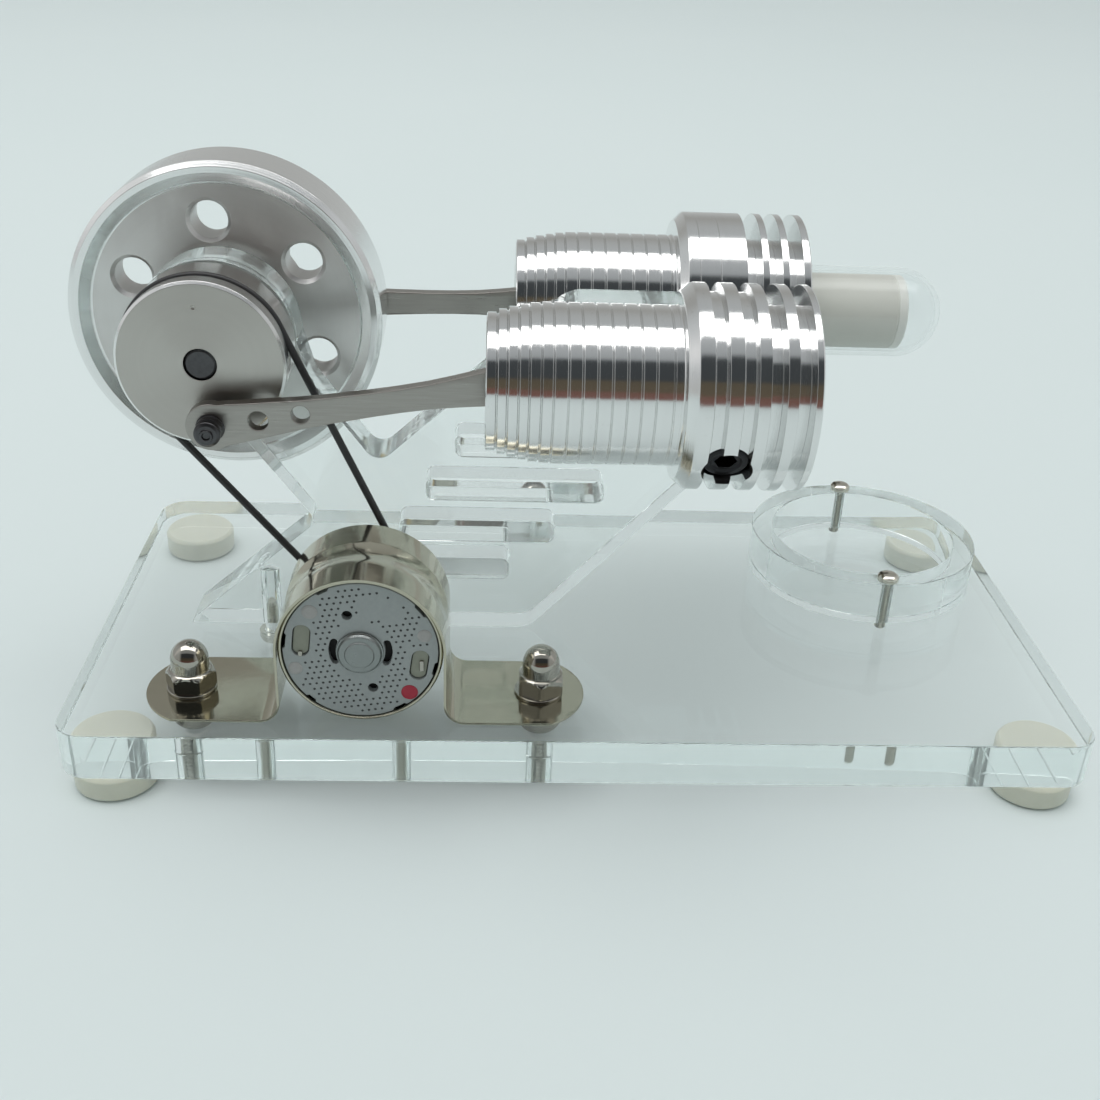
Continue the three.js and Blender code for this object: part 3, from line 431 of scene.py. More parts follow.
# ---------------------------------------------------------------- material helpers
class Graph:
    """An emptied node tree; apart from node(), the calls return a new node's first output."""

    def __init__(self, owner, output):
        owner.use_nodes = True
        self.owner, self.tree = owner, owner.node_tree
        self.tree.nodes.clear()
        self.output = self.tree.nodes.new(output)

    def node(self, kind, inputs=None, **settings):
        node = self.tree.nodes.new("ShaderNode" + kind)
        for key, value in settings.items():
            setattr(node, key, value)
        for key, value in (inputs or {}).items():
            socket = node.inputs[key]
            if isinstance(value, bpy.types.NodeSocket):
                self.tree.links.new(value, socket)
            elif socket.type == "RGBA":
                socket.default_value = (*value, 1.0)
            else:
                socket.default_value = value
        return node

    def add(self, kind, inputs=None, **settings):
        return self.node(kind, inputs, **settings).outputs[0]

    def finish(self, shader):
        self.tree.links.new(shader, self.output.inputs[0])
        return self.owner

    def math(self, operation, *values, clamp=False):
        return self.add("Math", dict(enumerate(values)), operation=operation, use_clamp=clamp)

    def mix(self, factor, first, second, **settings):
        return self.add("MixRGB", {0: factor, 1: first, 2: second}, **settings)

    def mix_shader(self, factor, first, second):
        return self.add("MixShader", {0: factor, 1: first, 2: second})

    def noise(self, vector, scale, detail, roughness=0.5):
        return self.add("TexNoise", {"Vector": vector, "Scale": scale, "Detail": detail,
                                     "Roughness": roughness})

    def bump(self, height, strength, distance, **normal):
        """distance is in metres."""
        return self.add("Bump", {"Strength": strength, "Distance": distance, "Height": height,
                                 **normal})

    def vary(self, noise, middle, swing):
        """Spread a 0 to 1 noise over middle - swing to middle + swing."""
        return self.math("MULTIPLY_ADD", noise, swing * 2, middle - swing)

    def object_point(self):
        return self.node("TexCoord").outputs["Object"]

    def scaled(self, vector, scale):
        return self.add("VectorMath", {0: vector, "Scale": scale}, operation="SCALE")

    def millimetres(self, origin=None):
        """The shading point in millimetres, from an origin if one is given."""
        point = self.object_point()
        if origin:
            metres = ((origin[0] + BASE_X) * MM, origin[1] * MM, origin[2] * MM)
            point = self.add("VectorMath", {0: point, 1: metres}, operation="SUBTRACT")
        return self.scaled(point, 1000.0)

    def ramp(self, factor, stops):
        node = self.node("ValToRGB", {0: factor})
        elements = node.color_ramp.elements
        while len(elements) > 1:
            elements.remove(elements[-1])
        elements[0].position, elements[0].color = stops[0][0], (*stops[0][1], 1.0)
        for position, color in stops[1:]:
            elements.new(position).color = (*color, 1.0)
        return node.outputs[0]


def new_graph(name):
    return Graph(bpy.data.materials.new(name), "ShaderNodeOutputMaterial")


def turned(name, axis, centre, color, rough, aniso, ring, bump,
           speck=0.0, ring_swing=0.05, dirt=0.06):
    """Bright metal turned about an axis. ring is the fineness of the rings; ring_swing and
    dirt vary the roughness by ring and by cloud; speck is the strength of the dark spots."""
    g = new_graph(name)
    point = g.millimetres(centre)
    x, y, z = g.node("SeparateXYZ", {0: point}).outputs
    along, p, q = {"X": (x, y, z), "Y": (y, x, z)}[axis]
    squares = g.math("ADD", g.math("MULTIPLY", p, p), g.math("MULTIPLY", q, q))
    turned_point = g.add("CombineXYZ", {0: along, 1: g.math("SQRT", squares), 2: 0.0})
    fine = g.noise(turned_point, scale=ring, detail=4.0, roughness=0.7)
    slow = g.noise(turned_point, scale=0.9, detail=2.0)
    cloud = g.noise(point, scale=0.22, detail=5.0, roughness=0.6)
    roughness = g.vary(fine, middle=rough, swing=ring_swing)
    centred_cloud = g.math("SUBTRACT", cloud, 0.5)
    roughness = g.math("MULTIPLY_ADD", centred_cloud, dirt * 2, roughness)
    lowest_roughness = 0.04
    roughness = g.math("MAXIMUM", roughness, lowest_roughness)
    darker = (color[0] * 0.82, color[1] * 0.82, color[2] * 0.83)
    darker_share = 0.25
    tint = g.mix(g.math("MULTIPLY", slow, darker_share), color, darker)
    if speck:
        spots = g.noise(point, scale=1.6, detail=3.0, roughness=0.55)
        tone = g.ramp(spots, [(0.0, (0.55, 0.55, 0.54)), (0.26, (0.80, 0.80, 0.79)),
                              (0.36, (1, 1, 1)), (1.0, (1, 1, 1))])
        tint = g.mix(speck, tint, g.mix(1.0, tint, tone, blend_type="MULTIPLY"))
    return g.finish(g.add("BsdfPrincipled", {
        "Base Color": tint, "Metallic": 1.0, "Roughness": roughness,
        "Normal": g.bump(fine, strength=bump, distance=0.00003),
        "Anisotropic": aniso, "Anisotropic Rotation": 0.25,
        "Tangent": g.add("Tangent", direction_type="RADIAL", axis=axis)}))


def metal(name, color, rough, bump, scale, swing=0.06, wave=0.0, stretch=(1, 1, 1), tint=0.12):
    """Plated, ground or plain metal. swing varies the roughness, tint darkens the colour,
    and wave is the height in metres of a slow unevenness."""
    g = new_graph(name)
    point = g.millimetres()
    stretched = g.add("VectorMath", {0: point, 1: stretch}, operation="MULTIPLY")
    grain = g.noise(stretched, scale=scale, detail=5.0, roughness=0.6)
    normal = g.bump(grain, strength=bump, distance=0.00004)
    if wave:
        slow = g.noise(point, scale=0.16, detail=2.0)
        normal = g.bump(slow, strength=1.0, distance=wave, Normal=normal)
    darker = tuple(part * (1 - tint) for part in color)
    full_share, lowest_roughness = 1.0, 0.03
    return g.finish(g.add("BsdfPrincipled", {
        "Base Color": g.mix(g.math("MULTIPLY", grain, full_share), color, darker),
        "Metallic": 1.0,
        "Roughness": g.math("MAXIMUM", g.vary(grain, rough, swing), lowest_roughness),
        "Normal": normal}))


def plastic(name, color, second, rough, bump, scale=0.8, subsurface=0.0):
    """A non-metal that drifts between two colours."""
    g = new_graph(name)
    grain = g.noise(g.millimetres(), scale=scale, detail=5.0, roughness=0.6)
    inputs = {"Base Color": g.mix(grain, color, second),
              "Roughness": g.vary(grain, middle=rough, swing=0.06),
              "Normal": g.bump(grain, strength=bump, distance=0.00005)}
    if subsurface:
        inputs.update({"Subsurface Weight": subsurface, "Subsurface Radius": (1.0, 0.9, 0.7),
                       "Subsurface Scale": 0.002})
    return g.finish(g.add("BsdfPrincipled", inputs))


def clear(name, haze, haze_color, rough=0.0):
    """Clear sheet: refracts for the eye, lets the light through for shadows."""
    g = new_graph(name)
    glass = g.add("BsdfGlass", {"Color": (0.985, 0.995, 0.993), "Roughness": rough, "IOR": 1.49})
    milk = g.add("BsdfPrincipled", {"Base Color": haze_color, "Roughness": 0.6})
    surface = g.mix_shader(haze, glass, milk)
    rays = g.node("LightPath").outputs
    through = g.add("BsdfTransparent", {"Color": (0.965, 0.965, 0.965)})
    passing = g.math("MAXIMUM", rays["Is Shadow Ray"], rays["Is Diffuse Ray"])
    return g.finish(g.mix_shader(passing, surface, through))


def thin_glass(name):
    """Blown glass wall: clear straight through, paler and mirror-like towards its outline; the
    paleness is a pale diffuse colour mixed in by facing angle, a painted reflection.
    """
    g = new_graph(name)
    facing = g.node("LayerWeight", {"Blend": 0.5}).outputs["Facing"]
    outline_power, outline_share, least_shine = 5.0, 0.5, 0.03
    edge = g.math("POWER", facing, outline_power)
    grain = g.noise(g.scaled(g.object_point(), 400.0), scale=0.5, detail=2.0)
    normal = g.bump(grain, strength=0.3, distance=0.00005)
    through = g.add("BsdfTransparent", {"Color": (0.985, 0.99, 0.99)})
    gloss = g.add("BsdfGlossy", {"Color": (0.95, 0.97, 0.97), "Roughness": 0.04,
                                 "Normal": normal})
    # pale diffuse colour mixed in towards the outline: painted reflection
    pale = g.add("BsdfDiffuse", {"Color": (0.84, 0.89, 0.89)})
    pale_share = 0.45
    gloss_and_painted_pale = g.mix_shader(pale_share, gloss, pale)
    factor = g.math("MULTIPLY_ADD", edge, outline_share, least_shine, clamp=True)
    return g.finish(g.mix_shader(factor, through, gloss_and_painted_pale))


def cap_material(name):
    g = new_graph(name)
    point = g.millimetres(GENERATOR)
    cloud = g.noise(point, scale=1.4, detail=4.0)
    grain = g.noise(point, scale=6.0, detail=3.0)
    return g.finish(g.add("BsdfPrincipled", {
        "Base Color": g.mix(cloud, (0.255, 0.28, 0.28), (0.315, 0.34, 0.335)),
        "Metallic": 0.25, "Roughness": g.vary(cloud, middle=0.46, swing=0.1),
        "Normal": g.bump(grain, strength=0.3, distance=0.00003)}))


# ---------------------------------------------------------------- materials
CYLINDER_FINISH = dict(color=(0.80, 0.805, 0.80), rough=0.13, aniso=0.6, ring=7.0, bump=0.5,
                       speck=0.4, ring_swing=0.06)
ACRYLIC = clear("acrylic_clear", haze=0.03, haze_color=(0.80, 0.86, 0.86))
ACRYLIC_CUT = clear("acrylic_cut_edge", rough=0.2, haze=0.24, haze_color=(0.86, 0.91, 0.91))
GLASS = thin_glass("hot_glass")
SILICONE = plastic("silicone_foot", (0.56, 0.575, 0.49), (0.50, 0.515, 0.435),
                   rough=0.35, bump=0.4, scale=0.5, subsurface=0.5)
WHEEL = turned("flywheel_turned", "Y", SHAFT, (0.74, 0.73, 0.715),
               rough=0.38, aniso=0.9, ring=4.0, bump=0.5, dirt=0.12)
DISC = turned("disc_brushed", "Y", SHAFT, (0.50, 0.485, 0.455),
              rough=0.36, aniso=0.55, ring=6.0, bump=0.5, ring_swing=0.08)
POWER_METAL = turned("power_cylinder_turned", "X", POWER, **CYLINDER_FINISH)
DISPLACER_METAL = turned("displacer_cylinder_turned", "X", DISPLACER, **CYLINDER_FINISH)
NICKEL = metal("bright_nickel", (0.50, 0.48, 0.385),
               rough=0.13, bump=0.12, scale=0.7, swing=0.05, wave=0.00004, tint=0.16)
NUT = metal("nickel_nut", (0.42, 0.405, 0.36), rough=0.09, bump=0.06, scale=0.8, swing=0.03)
STEEL = metal("plain_steel", (0.55, 0.54, 0.52), rough=0.24, bump=0.2, scale=1.5, swing=0.08)
CUP = metal("bearing_cup", (0.27, 0.29, 0.285), rough=0.3, bump=0.2, scale=1.5, swing=0.08)
SCREW = metal("small_screw", (0.62, 0.60, 0.53), rough=0.16, bump=0.1, scale=1.5, swing=0.05)
ROD = metal("brushed_rod", (0.40, 0.385, 0.36),
            rough=0.30, bump=0.5, scale=1.6, swing=0.08, stretch=(0.12, 1.0, 2.6), tint=0.25)
DARK = metal("dark_steel", (0.11, 0.11, 0.115),
             rough=0.32, bump=0.3, scale=1.2, swing=0.1, tint=0.4)
OXIDE = metal("black_oxide", (0.035, 0.035, 0.038),
              rough=0.38, bump=0.3, scale=1.5, swing=0.1, tint=0.3)
BRASS = metal("turned_brass", (0.70, 0.50, 0.22), rough=0.2, bump=0.2, scale=1.2)
COPPER = metal("copper_winding", (0.62, 0.28, 0.14), rough=0.3, bump=0.6, scale=2.5)
RUBBER = plastic("belt_rubber", (0.012, 0.012, 0.013), (0.02, 0.02, 0.021),
                 rough=0.42, bump=0.25, scale=2.0)
MAGNET = plastic("ferrite", (0.05, 0.05, 0.055), (0.08, 0.08, 0.085),
                 rough=0.7, bump=0.4, scale=2.0)
CAN = plastic("displacer_can", (0.60, 0.595, 0.545), (0.54, 0.535, 0.49),
              rough=0.45, bump=0.2, scale=0.7)
CAN_RING = plastic("displacer_ring", (0.72, 0.72, 0.68), (0.66, 0.66, 0.62),
                   rough=0.35, bump=0.2, scale=0.9)
WINDOW = plastic("cap_window", (0.20, 0.215, 0.17), (0.25, 0.26, 0.21),
                 rough=0.5, bump=0.3, scale=1.5)
RIVET = plastic("cap_rivet", (0.33, 0.33, 0.32), (0.28, 0.28, 0.27),
                rough=0.4, bump=0.2, scale=2.0)
RED = plastic("red_dot", (0.33, 0.008, 0.03), (0.27, 0.006, 0.022),
              rough=0.35, bump=0.3, scale=2.0)
# near-black colour for the inside of the cap's shallow dimples: painted shade in the recesses
DIMPLE_PAINTED_SHADE = plastic("cap_dimple_painted_shade", (0.06, 0.066, 0.066), (0.09, 0.097, 0.096), rough=0.6, bump=0.1)
# smoother copy of the flywheel metal for rim and hub; its brighter colour than the body is a
# painted highlight
WHEEL_RIM_SMOOTH_AND_PAINTED_HIGHLIGHT = turned("flywheel_rim_turned_painted_highlight", "Y", SHAFT, (0.84, 0.845, 0.84),
                   rough=0.17, aniso=0.6, ring=4.0, bump=0.4)
# smoother copy of the disc metal for rim, groove and rear; its much brighter colour than the face
# is a painted highlight
DISC_RIM_SMOOTH_AND_PAINTED_HIGHLIGHT = turned("disc_rim_turned_painted_highlight", "Y", SHAFT, (0.82, 0.82, 0.81),
                  rough=0.16, aniso=0.5, ring=5.0, bump=0.4)
# near-black colour of the board behind the cap's openings: painted shade
SHADE_BLACK = plastic("deep_black_painted_shade", (0.004, 0.004, 0.004), (0.008, 0.008, 0.008), rough=0.7, bump=0.1)
CAP = cap_material("grey_blue_cap")

# Lathe profiles below are lists of (along the axis, radius[, fillet radius]).

# ---------------------------------------------------------------- base and feet
base_holes = [circle(x, CLAMP_BOLT_Y, 2.2, 40) for x in CLAMP_BOLT_X]
base_holes += [circle(x, FRAME_SCREW_Y, FRAME_SCREW_HOLE, 32) for x in FRAME_SCREW_X]
base_outline = rectangle(-BASE_HALF_X, -BASE_HALF_Y, BASE_HALF_X, BASE_HALF_Y, 5.0)
base = plate("base", rounded(base_outline, step=6.0), base_holes, BASE_BOTTOM, BASE_TOP, 0.22,
             level_plane, ACRYLIC)
place(base, "frame", "clear_acrylic", "base_plate")

FOOT_X, FOOT_Y, FOOT_TOP = 74.2, 34.8, BASE_BOTTOM - GAP
FOOT_PROFILE = [(0, 0), (0, 5.9, 0.7), (0.5, 6.55, 0.4), (3.9, 6.6, 0.5), (FOOT_TOP, 6.1, 0.2),
                (FOOT_TOP, 0)]
for end, side_y in (("front", -1), ("rear", 1)):
    for side, side_x in (("left", -1), ("right", 1)):
        foot = lathe(f"foot_{end}_{side}_soft", soften(FOOT_PROFILE, 0.3), "Z",
                     (side_x * FOOT_X, side_y * FOOT_Y, 0), SILICONE, 72)
        place(foot, "frame", "silicone", f"foot_{end}_{side}")

# ---------------------------------------------------------------- clear ring on the base
RING_PROFILE = [(GAP, 17), (GAP, 21), (8, 21), (8, 17), (GAP, 17)]
ring_screws = [("front", (RING_X, RING_Y - RING_SCREW_DY, BASE_TOP)),
               ("rear", (RING_X, RING_Y + RING_SCREW_DY, BASE_TOP))]
ring = lathe("ring", soften(RING_PROFILE, 0.2), "Z", (RING_X, RING_Y, BASE_TOP), ACRYLIC, 128)
cut(ring, [bore(-1, 10, 1.05, "Z", centre, ACRYLIC, 24) for _, centre in ring_screws])
place(ring, "frame", "clear_acrylic", "lamp_ring")

RING_SCREW_HEAD = [(7.9, 0.85), (8.03, 0.95), (8.03, 1.9), (8.4, 1.96), (8.85, 1.85),
                   (9.15, 1.55), (9.33, 1.1), (9.4, 0)]
for end, centre in ring_screws:
    piece = screw(f"ring_screw_{end}_turned", centre, [(-4.4, 0), (-4.4, 0.7)],
                  (-4.2, 7.6, 0.66, 0.98, 0.55), RING_SCREW_HEAD, (1.15, 8.75, 10, 0.42),
                  SCREW, 28)
    place(piece, "frame", "plain_steel", f"ring_screw_{end}")

# ---------------------------------------------------------------- upright plate
UPRIGHT_FOOT_Z = BASE_TOP + GAP
# (x, z[, fillet]), up the left side, round the bearing boss and down the right side
upright_points = [(-67.0, UPRIGHT_FOOT_Z), (-66.4, BASE_TOP + 1.2, 0.6), (-44.5, 32.7, 2.2)]
upright_points += arc(SHAFT_X, SHAFT_Z, 12.75, 273, 0, 91)
upright_points += [(-44.4, 57.5, 5), (-34.2, 43.4, 2.6), (-3.4, 71.7, 6), (29, 71.7, 4),
                   (29, 52.8, 5), (-8.2, UPRIGHT_FOOT_Z, 5)]
# (left end, right end, centre height) of the long openings
UPRIGHT_OPENINGS = ((-21.4, 11.5, 47.2), (-26.2, 3.5, 39.2), (-30.7, -4.5, 31.5),
                    (-35.2, -12, 24.2))
upright_holes = [rounded(rectangle(x0, z - 2, x1, z + 2, 1.4)) for x0, x1, z in UPRIGHT_OPENINGS]
upright_holes += [circle(SHAFT_X, SHAFT_Z, 5.03, 64), circle(16.6, CYLINDER_Z, 1.2, 20),
                  circle(20.6, CYLINDER_Z - 4.2, 1.65, 24),
                  circle(20.6, CYLINDER_Z + 4.2, 1.65, 24)]
upright = plate("upright", rounded(upright_points, step=7.0), upright_holes,
                UPRIGHT_Y0, UPRIGHT_Y1, 0.18, upright_plane, ACRYLIC)
upright.data.materials.append(ACRYLIC_CUT)  # a spare slot that no face uses
SCREW_SOCKET = [(BASE_TOP - 1, 0), (BASE_TOP - 1, FRAME_SCREW_HOLE), (22.2, FRAME_SCREW_HOLE),
                (22.9, 0)]
cut(upright, [lathe("cutter", SCREW_SOCKET, "Z", (x, FRAME_SCREW_Y, 0), ACRYLIC, 24)
              for x in FRAME_SCREW_X], sharp=12.5)
place(upright, "frame", "clear_acrylic", "frame_plate")

FRAME_SCREW_HEAD = [(2.55, 0), (2.55, 1.5), (2.62, 2.1), (2.9, 2.55), (3.4, 2.75),
                    (FOOT_TOP, 2.75), (FOOT_TOP, 1.5)]
for i, x in enumerate(FRAME_SCREW_X, 1):
    piece = screw(f"frame_screw_{i}_turned", (x, FRAME_SCREW_Y, 0), FRAME_SCREW_HEAD,
                  (4.6, 15.2, 1.14, 1.49, 0.5), [(15.5, 1.0), (15.5, 0)], (1.5, 2.0, 3.5, 0.6),
                  SCREW, 28)
    place(piece, "frame", "plain_steel", f"frame_screw_{i}")

# ---------------------------------------------------------------- flywheel
SHAFT_BORE, SET_SCREW_HOLE = 2.5, 1.35
wheel_profile = [
    (WHEEL_Y0 - 1.7, SHAFT_BORE), (WHEEL_Y0 - 1.7, 4.2), (WHEEL_Y0 - 0.4, 4.2),
    (WHEEL_Y0 - 0.4, 7.5, 0.3), (WHEEL_Y0 + 1.5, 7.5, 0.5), (WHEEL_Y0 + 1.5, 21.9, 0.6),
    (WHEEL_Y0 + 0.1, 23.6, 0.1), (WHEEL_Y0, 24.6, 0.1), (WHEEL_Y0 + 0.75, 25.4, 0.1),
    (WHEEL_Y1 - 0.75, 25.4, 0.1), (WHEEL_Y1, 24.6, 0.1), (WHEEL_Y1, 22.6, 0.1),
    (WHEEL_Y0 + 8, 21.4, 0.8), (WHEEL_Y0 + 8, 12.4, 0.8), (WHEEL_Y1, 12.0, 0.3),
    (WHEEL_Y1, SHAFT_BORE, 0.1), (WHEEL_Y0 - 1.7, SHAFT_BORE)]
# holes through the web, widened at the front and rear
WEB_HOLE = [(-1, 0), (-1, 6.1), (2.1, 3.0), (7.4, 3.0), (9, 4.6), (9, 0)]
wheel = lathe("flywheel_turned_wheel", soften(wheel_profile), "Y", SHAFT, WHEEL, 224)
cutters = []
for k in range(6):
    x, z = polar(SHAFT_X, SHAFT_Z, 16, 96.5 + 60 * k)
    cutters.append(lathe("cutter", shifted(WEB_HOLE, WHEEL_Y0), "Y", (x, 0, z), WHEEL, 56))
cutters.append(bore(0, 13, SET_SCREW_HOLE, "Z", (SHAFT_X, WHEEL_Y1 - 2.2, SHAFT_Z), WHEEL, 28))
cut(wheel, cutters)


def shaft_distance(point):
    """Distance of a point in metres from the shaft axis, in millimetres."""
    x, _, z = point / MM
    return hypot(x - BASE_X - SHAFT_X, z - SHAFT_Z)


# rim and hub faces take the brighter copy: smoother finish plus painted highlight
second_finish(wheel, WHEEL_RIM_SMOOTH_AND_PAINTED_HIGHLIGHT, lambda p: not 9.0 <= shaft_distance(p) <= 21.7)
place(wheel, "crank", "turned_aluminium", "flywheel")

# ---------------------------------------------------------------- crank disc and shaft
DISC_RADIUS, GROOVE_RADIUS = 12.75, 11.85
disc_profile = [
    (DISC_Y0, SHAFT_BORE), (DISC_Y0, 12.3, 0.1), (DISC_Y0 + 0.42, DISC_RADIUS, 0.1),
    (BELT_Y - 1.0, DISC_RADIUS, 0.12), (BELT_Y - 0.72, GROOVE_RADIUS, 0.2),
    (BELT_Y + 0.72, GROOVE_RADIUS, 0.2), (BELT_Y + 1.0, DISC_RADIUS, 0.12),
    (DISC_Y1 - 0.4, DISC_RADIUS, 0.1), (DISC_Y1, 12.35, 0.1), (DISC_Y1, 4.0),
    (UPRIGHT_Y0 - 0.1, 4.0), (UPRIGHT_Y0 - 0.1, SHAFT_BORE), (DISC_Y0, SHAFT_BORE)]
FACE_PIT = [(-1, 0), (-1, 1.35), (0, 0.38), (0.32, 0)]
disc = lathe("crank_disc_turned", soften(disc_profile, 0.1), "Y", SHAFT, DISC, 192)
cut(disc, [bore(-14, 0, SET_SCREW_HOLE, "Z", (SHAFT_X, -10.9, SHAFT_Z), DISC, 28),
           lathe("cutter", shifted(FACE_PIT, DISC_Y0), "Y", (SHAFT_X - 0.3, 0, SHAFT_Z + 8.8),
                 DISC, 24)])


def on_disc_rim(point):
    y = (point / MM).y
    return y > DISC_Y0 + 0.05 and (shaft_distance(point) > 11.5 or y > DISC_Y0 + 1.5)


# rim, groove and rear faces take the brighter copy: smoother finish plus painted highlight
second_finish(disc, DISC_RIM_SMOOTH_AND_PAINTED_HIGHLIGHT, on_disc_rim)
place(disc, "crank", "turned_aluminium", "crank_disc")

shaft_profile = [
    (DISC_Y0 + 0.25, 0), (DISC_Y0 + 0.2, 0.9, 0.1), (DISC_Y0 + 0.12, 2.1, 0.15),
    (DISC_Y0 + 0.5, 2.45, 0.1), (WHEEL_Y1 - 0.5, 2.45), (WHEEL_Y1 - 0.2, 2.2),
    (WHEEL_Y1 - 0.2, 0)]
shaft = lathe("crank_shaft_ground", soften(shaft_profile, 0.08), "Y", SHAFT, DARK, 56)
place(shaft, "crank", "dark_steel", "crank_shaft")

# ---------------------------------------------------------------- connecting rods and pins
# (distance from the crank pin, half width)
ROD_WIDTHS = [(3.2, 3.25), (5.5, 3.0), (9, 2.72), (13.5, 2.3), (18, 2.05), (24, 1.88),
              (28.5, 1.85), (33, 1.95), (37, 2.25), (41, 2.65), (45.2, 3.02)]
ROD_OUTLINE = (arc(0, 0, 3.7, 64, 296, 29) + [(x, -half) for x, half in ROD_WIDTHS]
               + arc(ROD_LENGTH, 0, 3.1, -72, 72, 12) + ROD_WIDTHS[::-1])
ROD_HOLES = [circle(0, 0, 1.56, 40), circle(7.2, 0, 1.5, 40), circle(13.6, 0.05, 1.38, 40),
             circle(ROD_LENGTH, 0, 1.05, 32)]


def connecting_rod(side, pin, y):
    slope = asin((CYLINDER_Z - pin[1]) / ROD_LENGTH)
    c, s = cos(slope), sin(slope)

    def to_space(u, v, thickness):
        return pin[0] + u * c - v * s, thickness, pin[1] + u * s + v * c

    bm = plate_bm(ROD_OUTLINE, ROD_HOLES, y - 1, y + 1, 0.16, to_space)
    rod = finish_mesh(bm, f"{side}_rod_flat", ROD)
    place(rod, f"{side}_rod_body", "brushed_rod", f"{side}_rod")


connecting_rod("front", FRONT_PIN, POWER_Y)
connecting_rod("rear", REAR_PIN, DISPLACER_Y)

FRONT_PIN_PROFILE = [               # along is measured from the rod's middle
    (-4.15, 0), (-4.15, 0.5, 0.05), (-4.5, 0.62, 0.05), (-4.5, 0.92, 0.05), (-4.1, 1.0, 0.05),
    (-4.05, 1.5, 0.1), (-3.75, 1.95, 0.12), (-3.0, 2.0, 0.1), (-2.9, 1.75, 0.05),
    (-2.6, 1.75, 0.05), (-2.5, 2.0, 0.1), (-1.35, 2.0, 0.1), (-1.3, 2.15, 0.1), (-1.04, 2.15),
    (-1.04, 1.5), (1.04, 1.5), (1.04, 2.1)]
PIN_TO_DISC = 0.35
pin_end = DISC_Y0 - PIN_TO_DISC
pin_profiles = {
    "front": shifted(FRONT_PIN_PROFILE, POWER_Y) + [(pin_end, 2.1), (pin_end, 0)],
    "rear": [(WHEEL_Y1 + PIN_TO_DISC, 0), (WHEEL_Y1 + PIN_TO_DISC, 2.1), (15.86, 2.1),
             (15.86, 1.5), (17.94, 1.5), (17.94, 2.1, 0.1), (19.4, 2.0, 0.2), (19.8, 1.7, 0.1),
             (19.8, 0.9), (20.3, 0.8), (20.3, 0)]}
for side, (x, z), segments in (("front", FRONT_PIN, 56), ("rear", REAR_PIN, 48)):
    pin = lathe(f"{side}_crank_pin_turned", soften(pin_profiles[side], 0.06), "Y", (x, 0, z),
                DARK, segments)
    place(pin, f"{side}_rod_body", "dark_steel", f"{side}_crank_pin")


# ---------------------------------------------------------------- cylinder profiles
def bands(edges, radii):
    """Slightly crowned bands with a fine groove between them."""
    margin, depth, crown = 0.19, 0.24, 0.008
    points = []
    for i, radius in enumerate(radii):
        start, end = edges[i], edges[i + 1]
        points += [(start + margin, radius, 0.05), ((start + end) / 2, radius + crown, 0.0),
                   (end - margin, radius, 0.05)]
        if i + 1 < len(radii):
            bottom = min(radius, radii[i + 1]) - depth
            points += [(end - 0.03, bottom, 0.0), (end + 0.03, bottom, 0.0)]
    return points


def groove(start, end, bottom, top, slope=0.15):
    return [(start, top, 0.06), (start + slope, bottom, 0.08), (end - slope, bottom, 0.08),
            (end, top, 0.06)]


def hairline(along, top):
    return [(along - 0.1, top, 0.03), (along, top - 0.1, 0.0), (along + 0.1, top, 0.03)]


# ---------------------------------------------------------------- power cylinder
POWER_FIN = 15.3
POWER_BANDS = [-16.5, -14.9, -13.4, -11.8, -10.3, -8.6, -6.9, -4.8, -2.8, -0.7, 1.4, 3.5, 5.55,
               7.6, 10.1]
power_profile = [(21.0, 0), (21.0, 8.0, 0.1), (-15.9, 8.0, 0.1), (-16.5, 8.4, 0.1),
                 (-16.5, 10.0, 0.1)]
power_profile += bands(POWER_BANDS, [10.2, 10.7, 11.1, 11.45, 11.7, 11.85] + [11.9] * 8)
power_profile += [(10.15, 11.65, 0.1), (10.3, 11.9, 0.1), (11.5, 11.9, 0.25),
                  (11.62, 13.9, 0.3), (13.1, 15.2, 0.25), (13.6, POWER_FIN, 0.1)]
power_profile += groove(15.2, 17.3, 14.0, POWER_FIN, slope=0.3)
power_profile += groove(19.3, 21.4, 14.0, POWER_FIN, slope=0.3)
power_profile += groove(23.1, 25.4, 12.3, POWER_FIN)
power_profile += groove(27.0, 29.4, 12.3, POWER_FIN)
power_profile += [(30.3, POWER_FIN, 0.1), (30.5, 15.05, 0.1), (30.5, 0)]
power_cylinder = lathe("power_cylinder_turned_body", soften(power_profile, 0), "X", POWER,
                       POWER_METAL, 192)
limit_y(power_cylinder, min, UPRIGHT_Y0 - GAP)

# the plug screw points to the front and below the horizontal
PLUG_X, PLUG_SLOPE = 18.3, radians(32)


def plug_lathe(name, profile, material, segments):
    """A turned piece on the plug's axis, with along measured from the cylinder's axis."""
    bm = lathe_bm(profile, "Z", (0, 0, 0), segments)
    direction = Vector((0, -cos(PLUG_SLOPE), -sin(PLUG_SLOPE)))
    turn = Vector((0, 0, 1)).rotation_difference(direction).to_matrix().to_4x4()
    move = Matrix.Translation(((PLUG_X + BASE_X) * MM, POWER_Y * MM, CYLINDER_Z * MM))
    centring = Matrix.Translation((-BASE_X * MM, 0, 0))
    bmesh.ops.transform(bm, matrix=move @ turn @ centring, verts=bm.verts[:])
    return finish_mesh(bm, name, material)


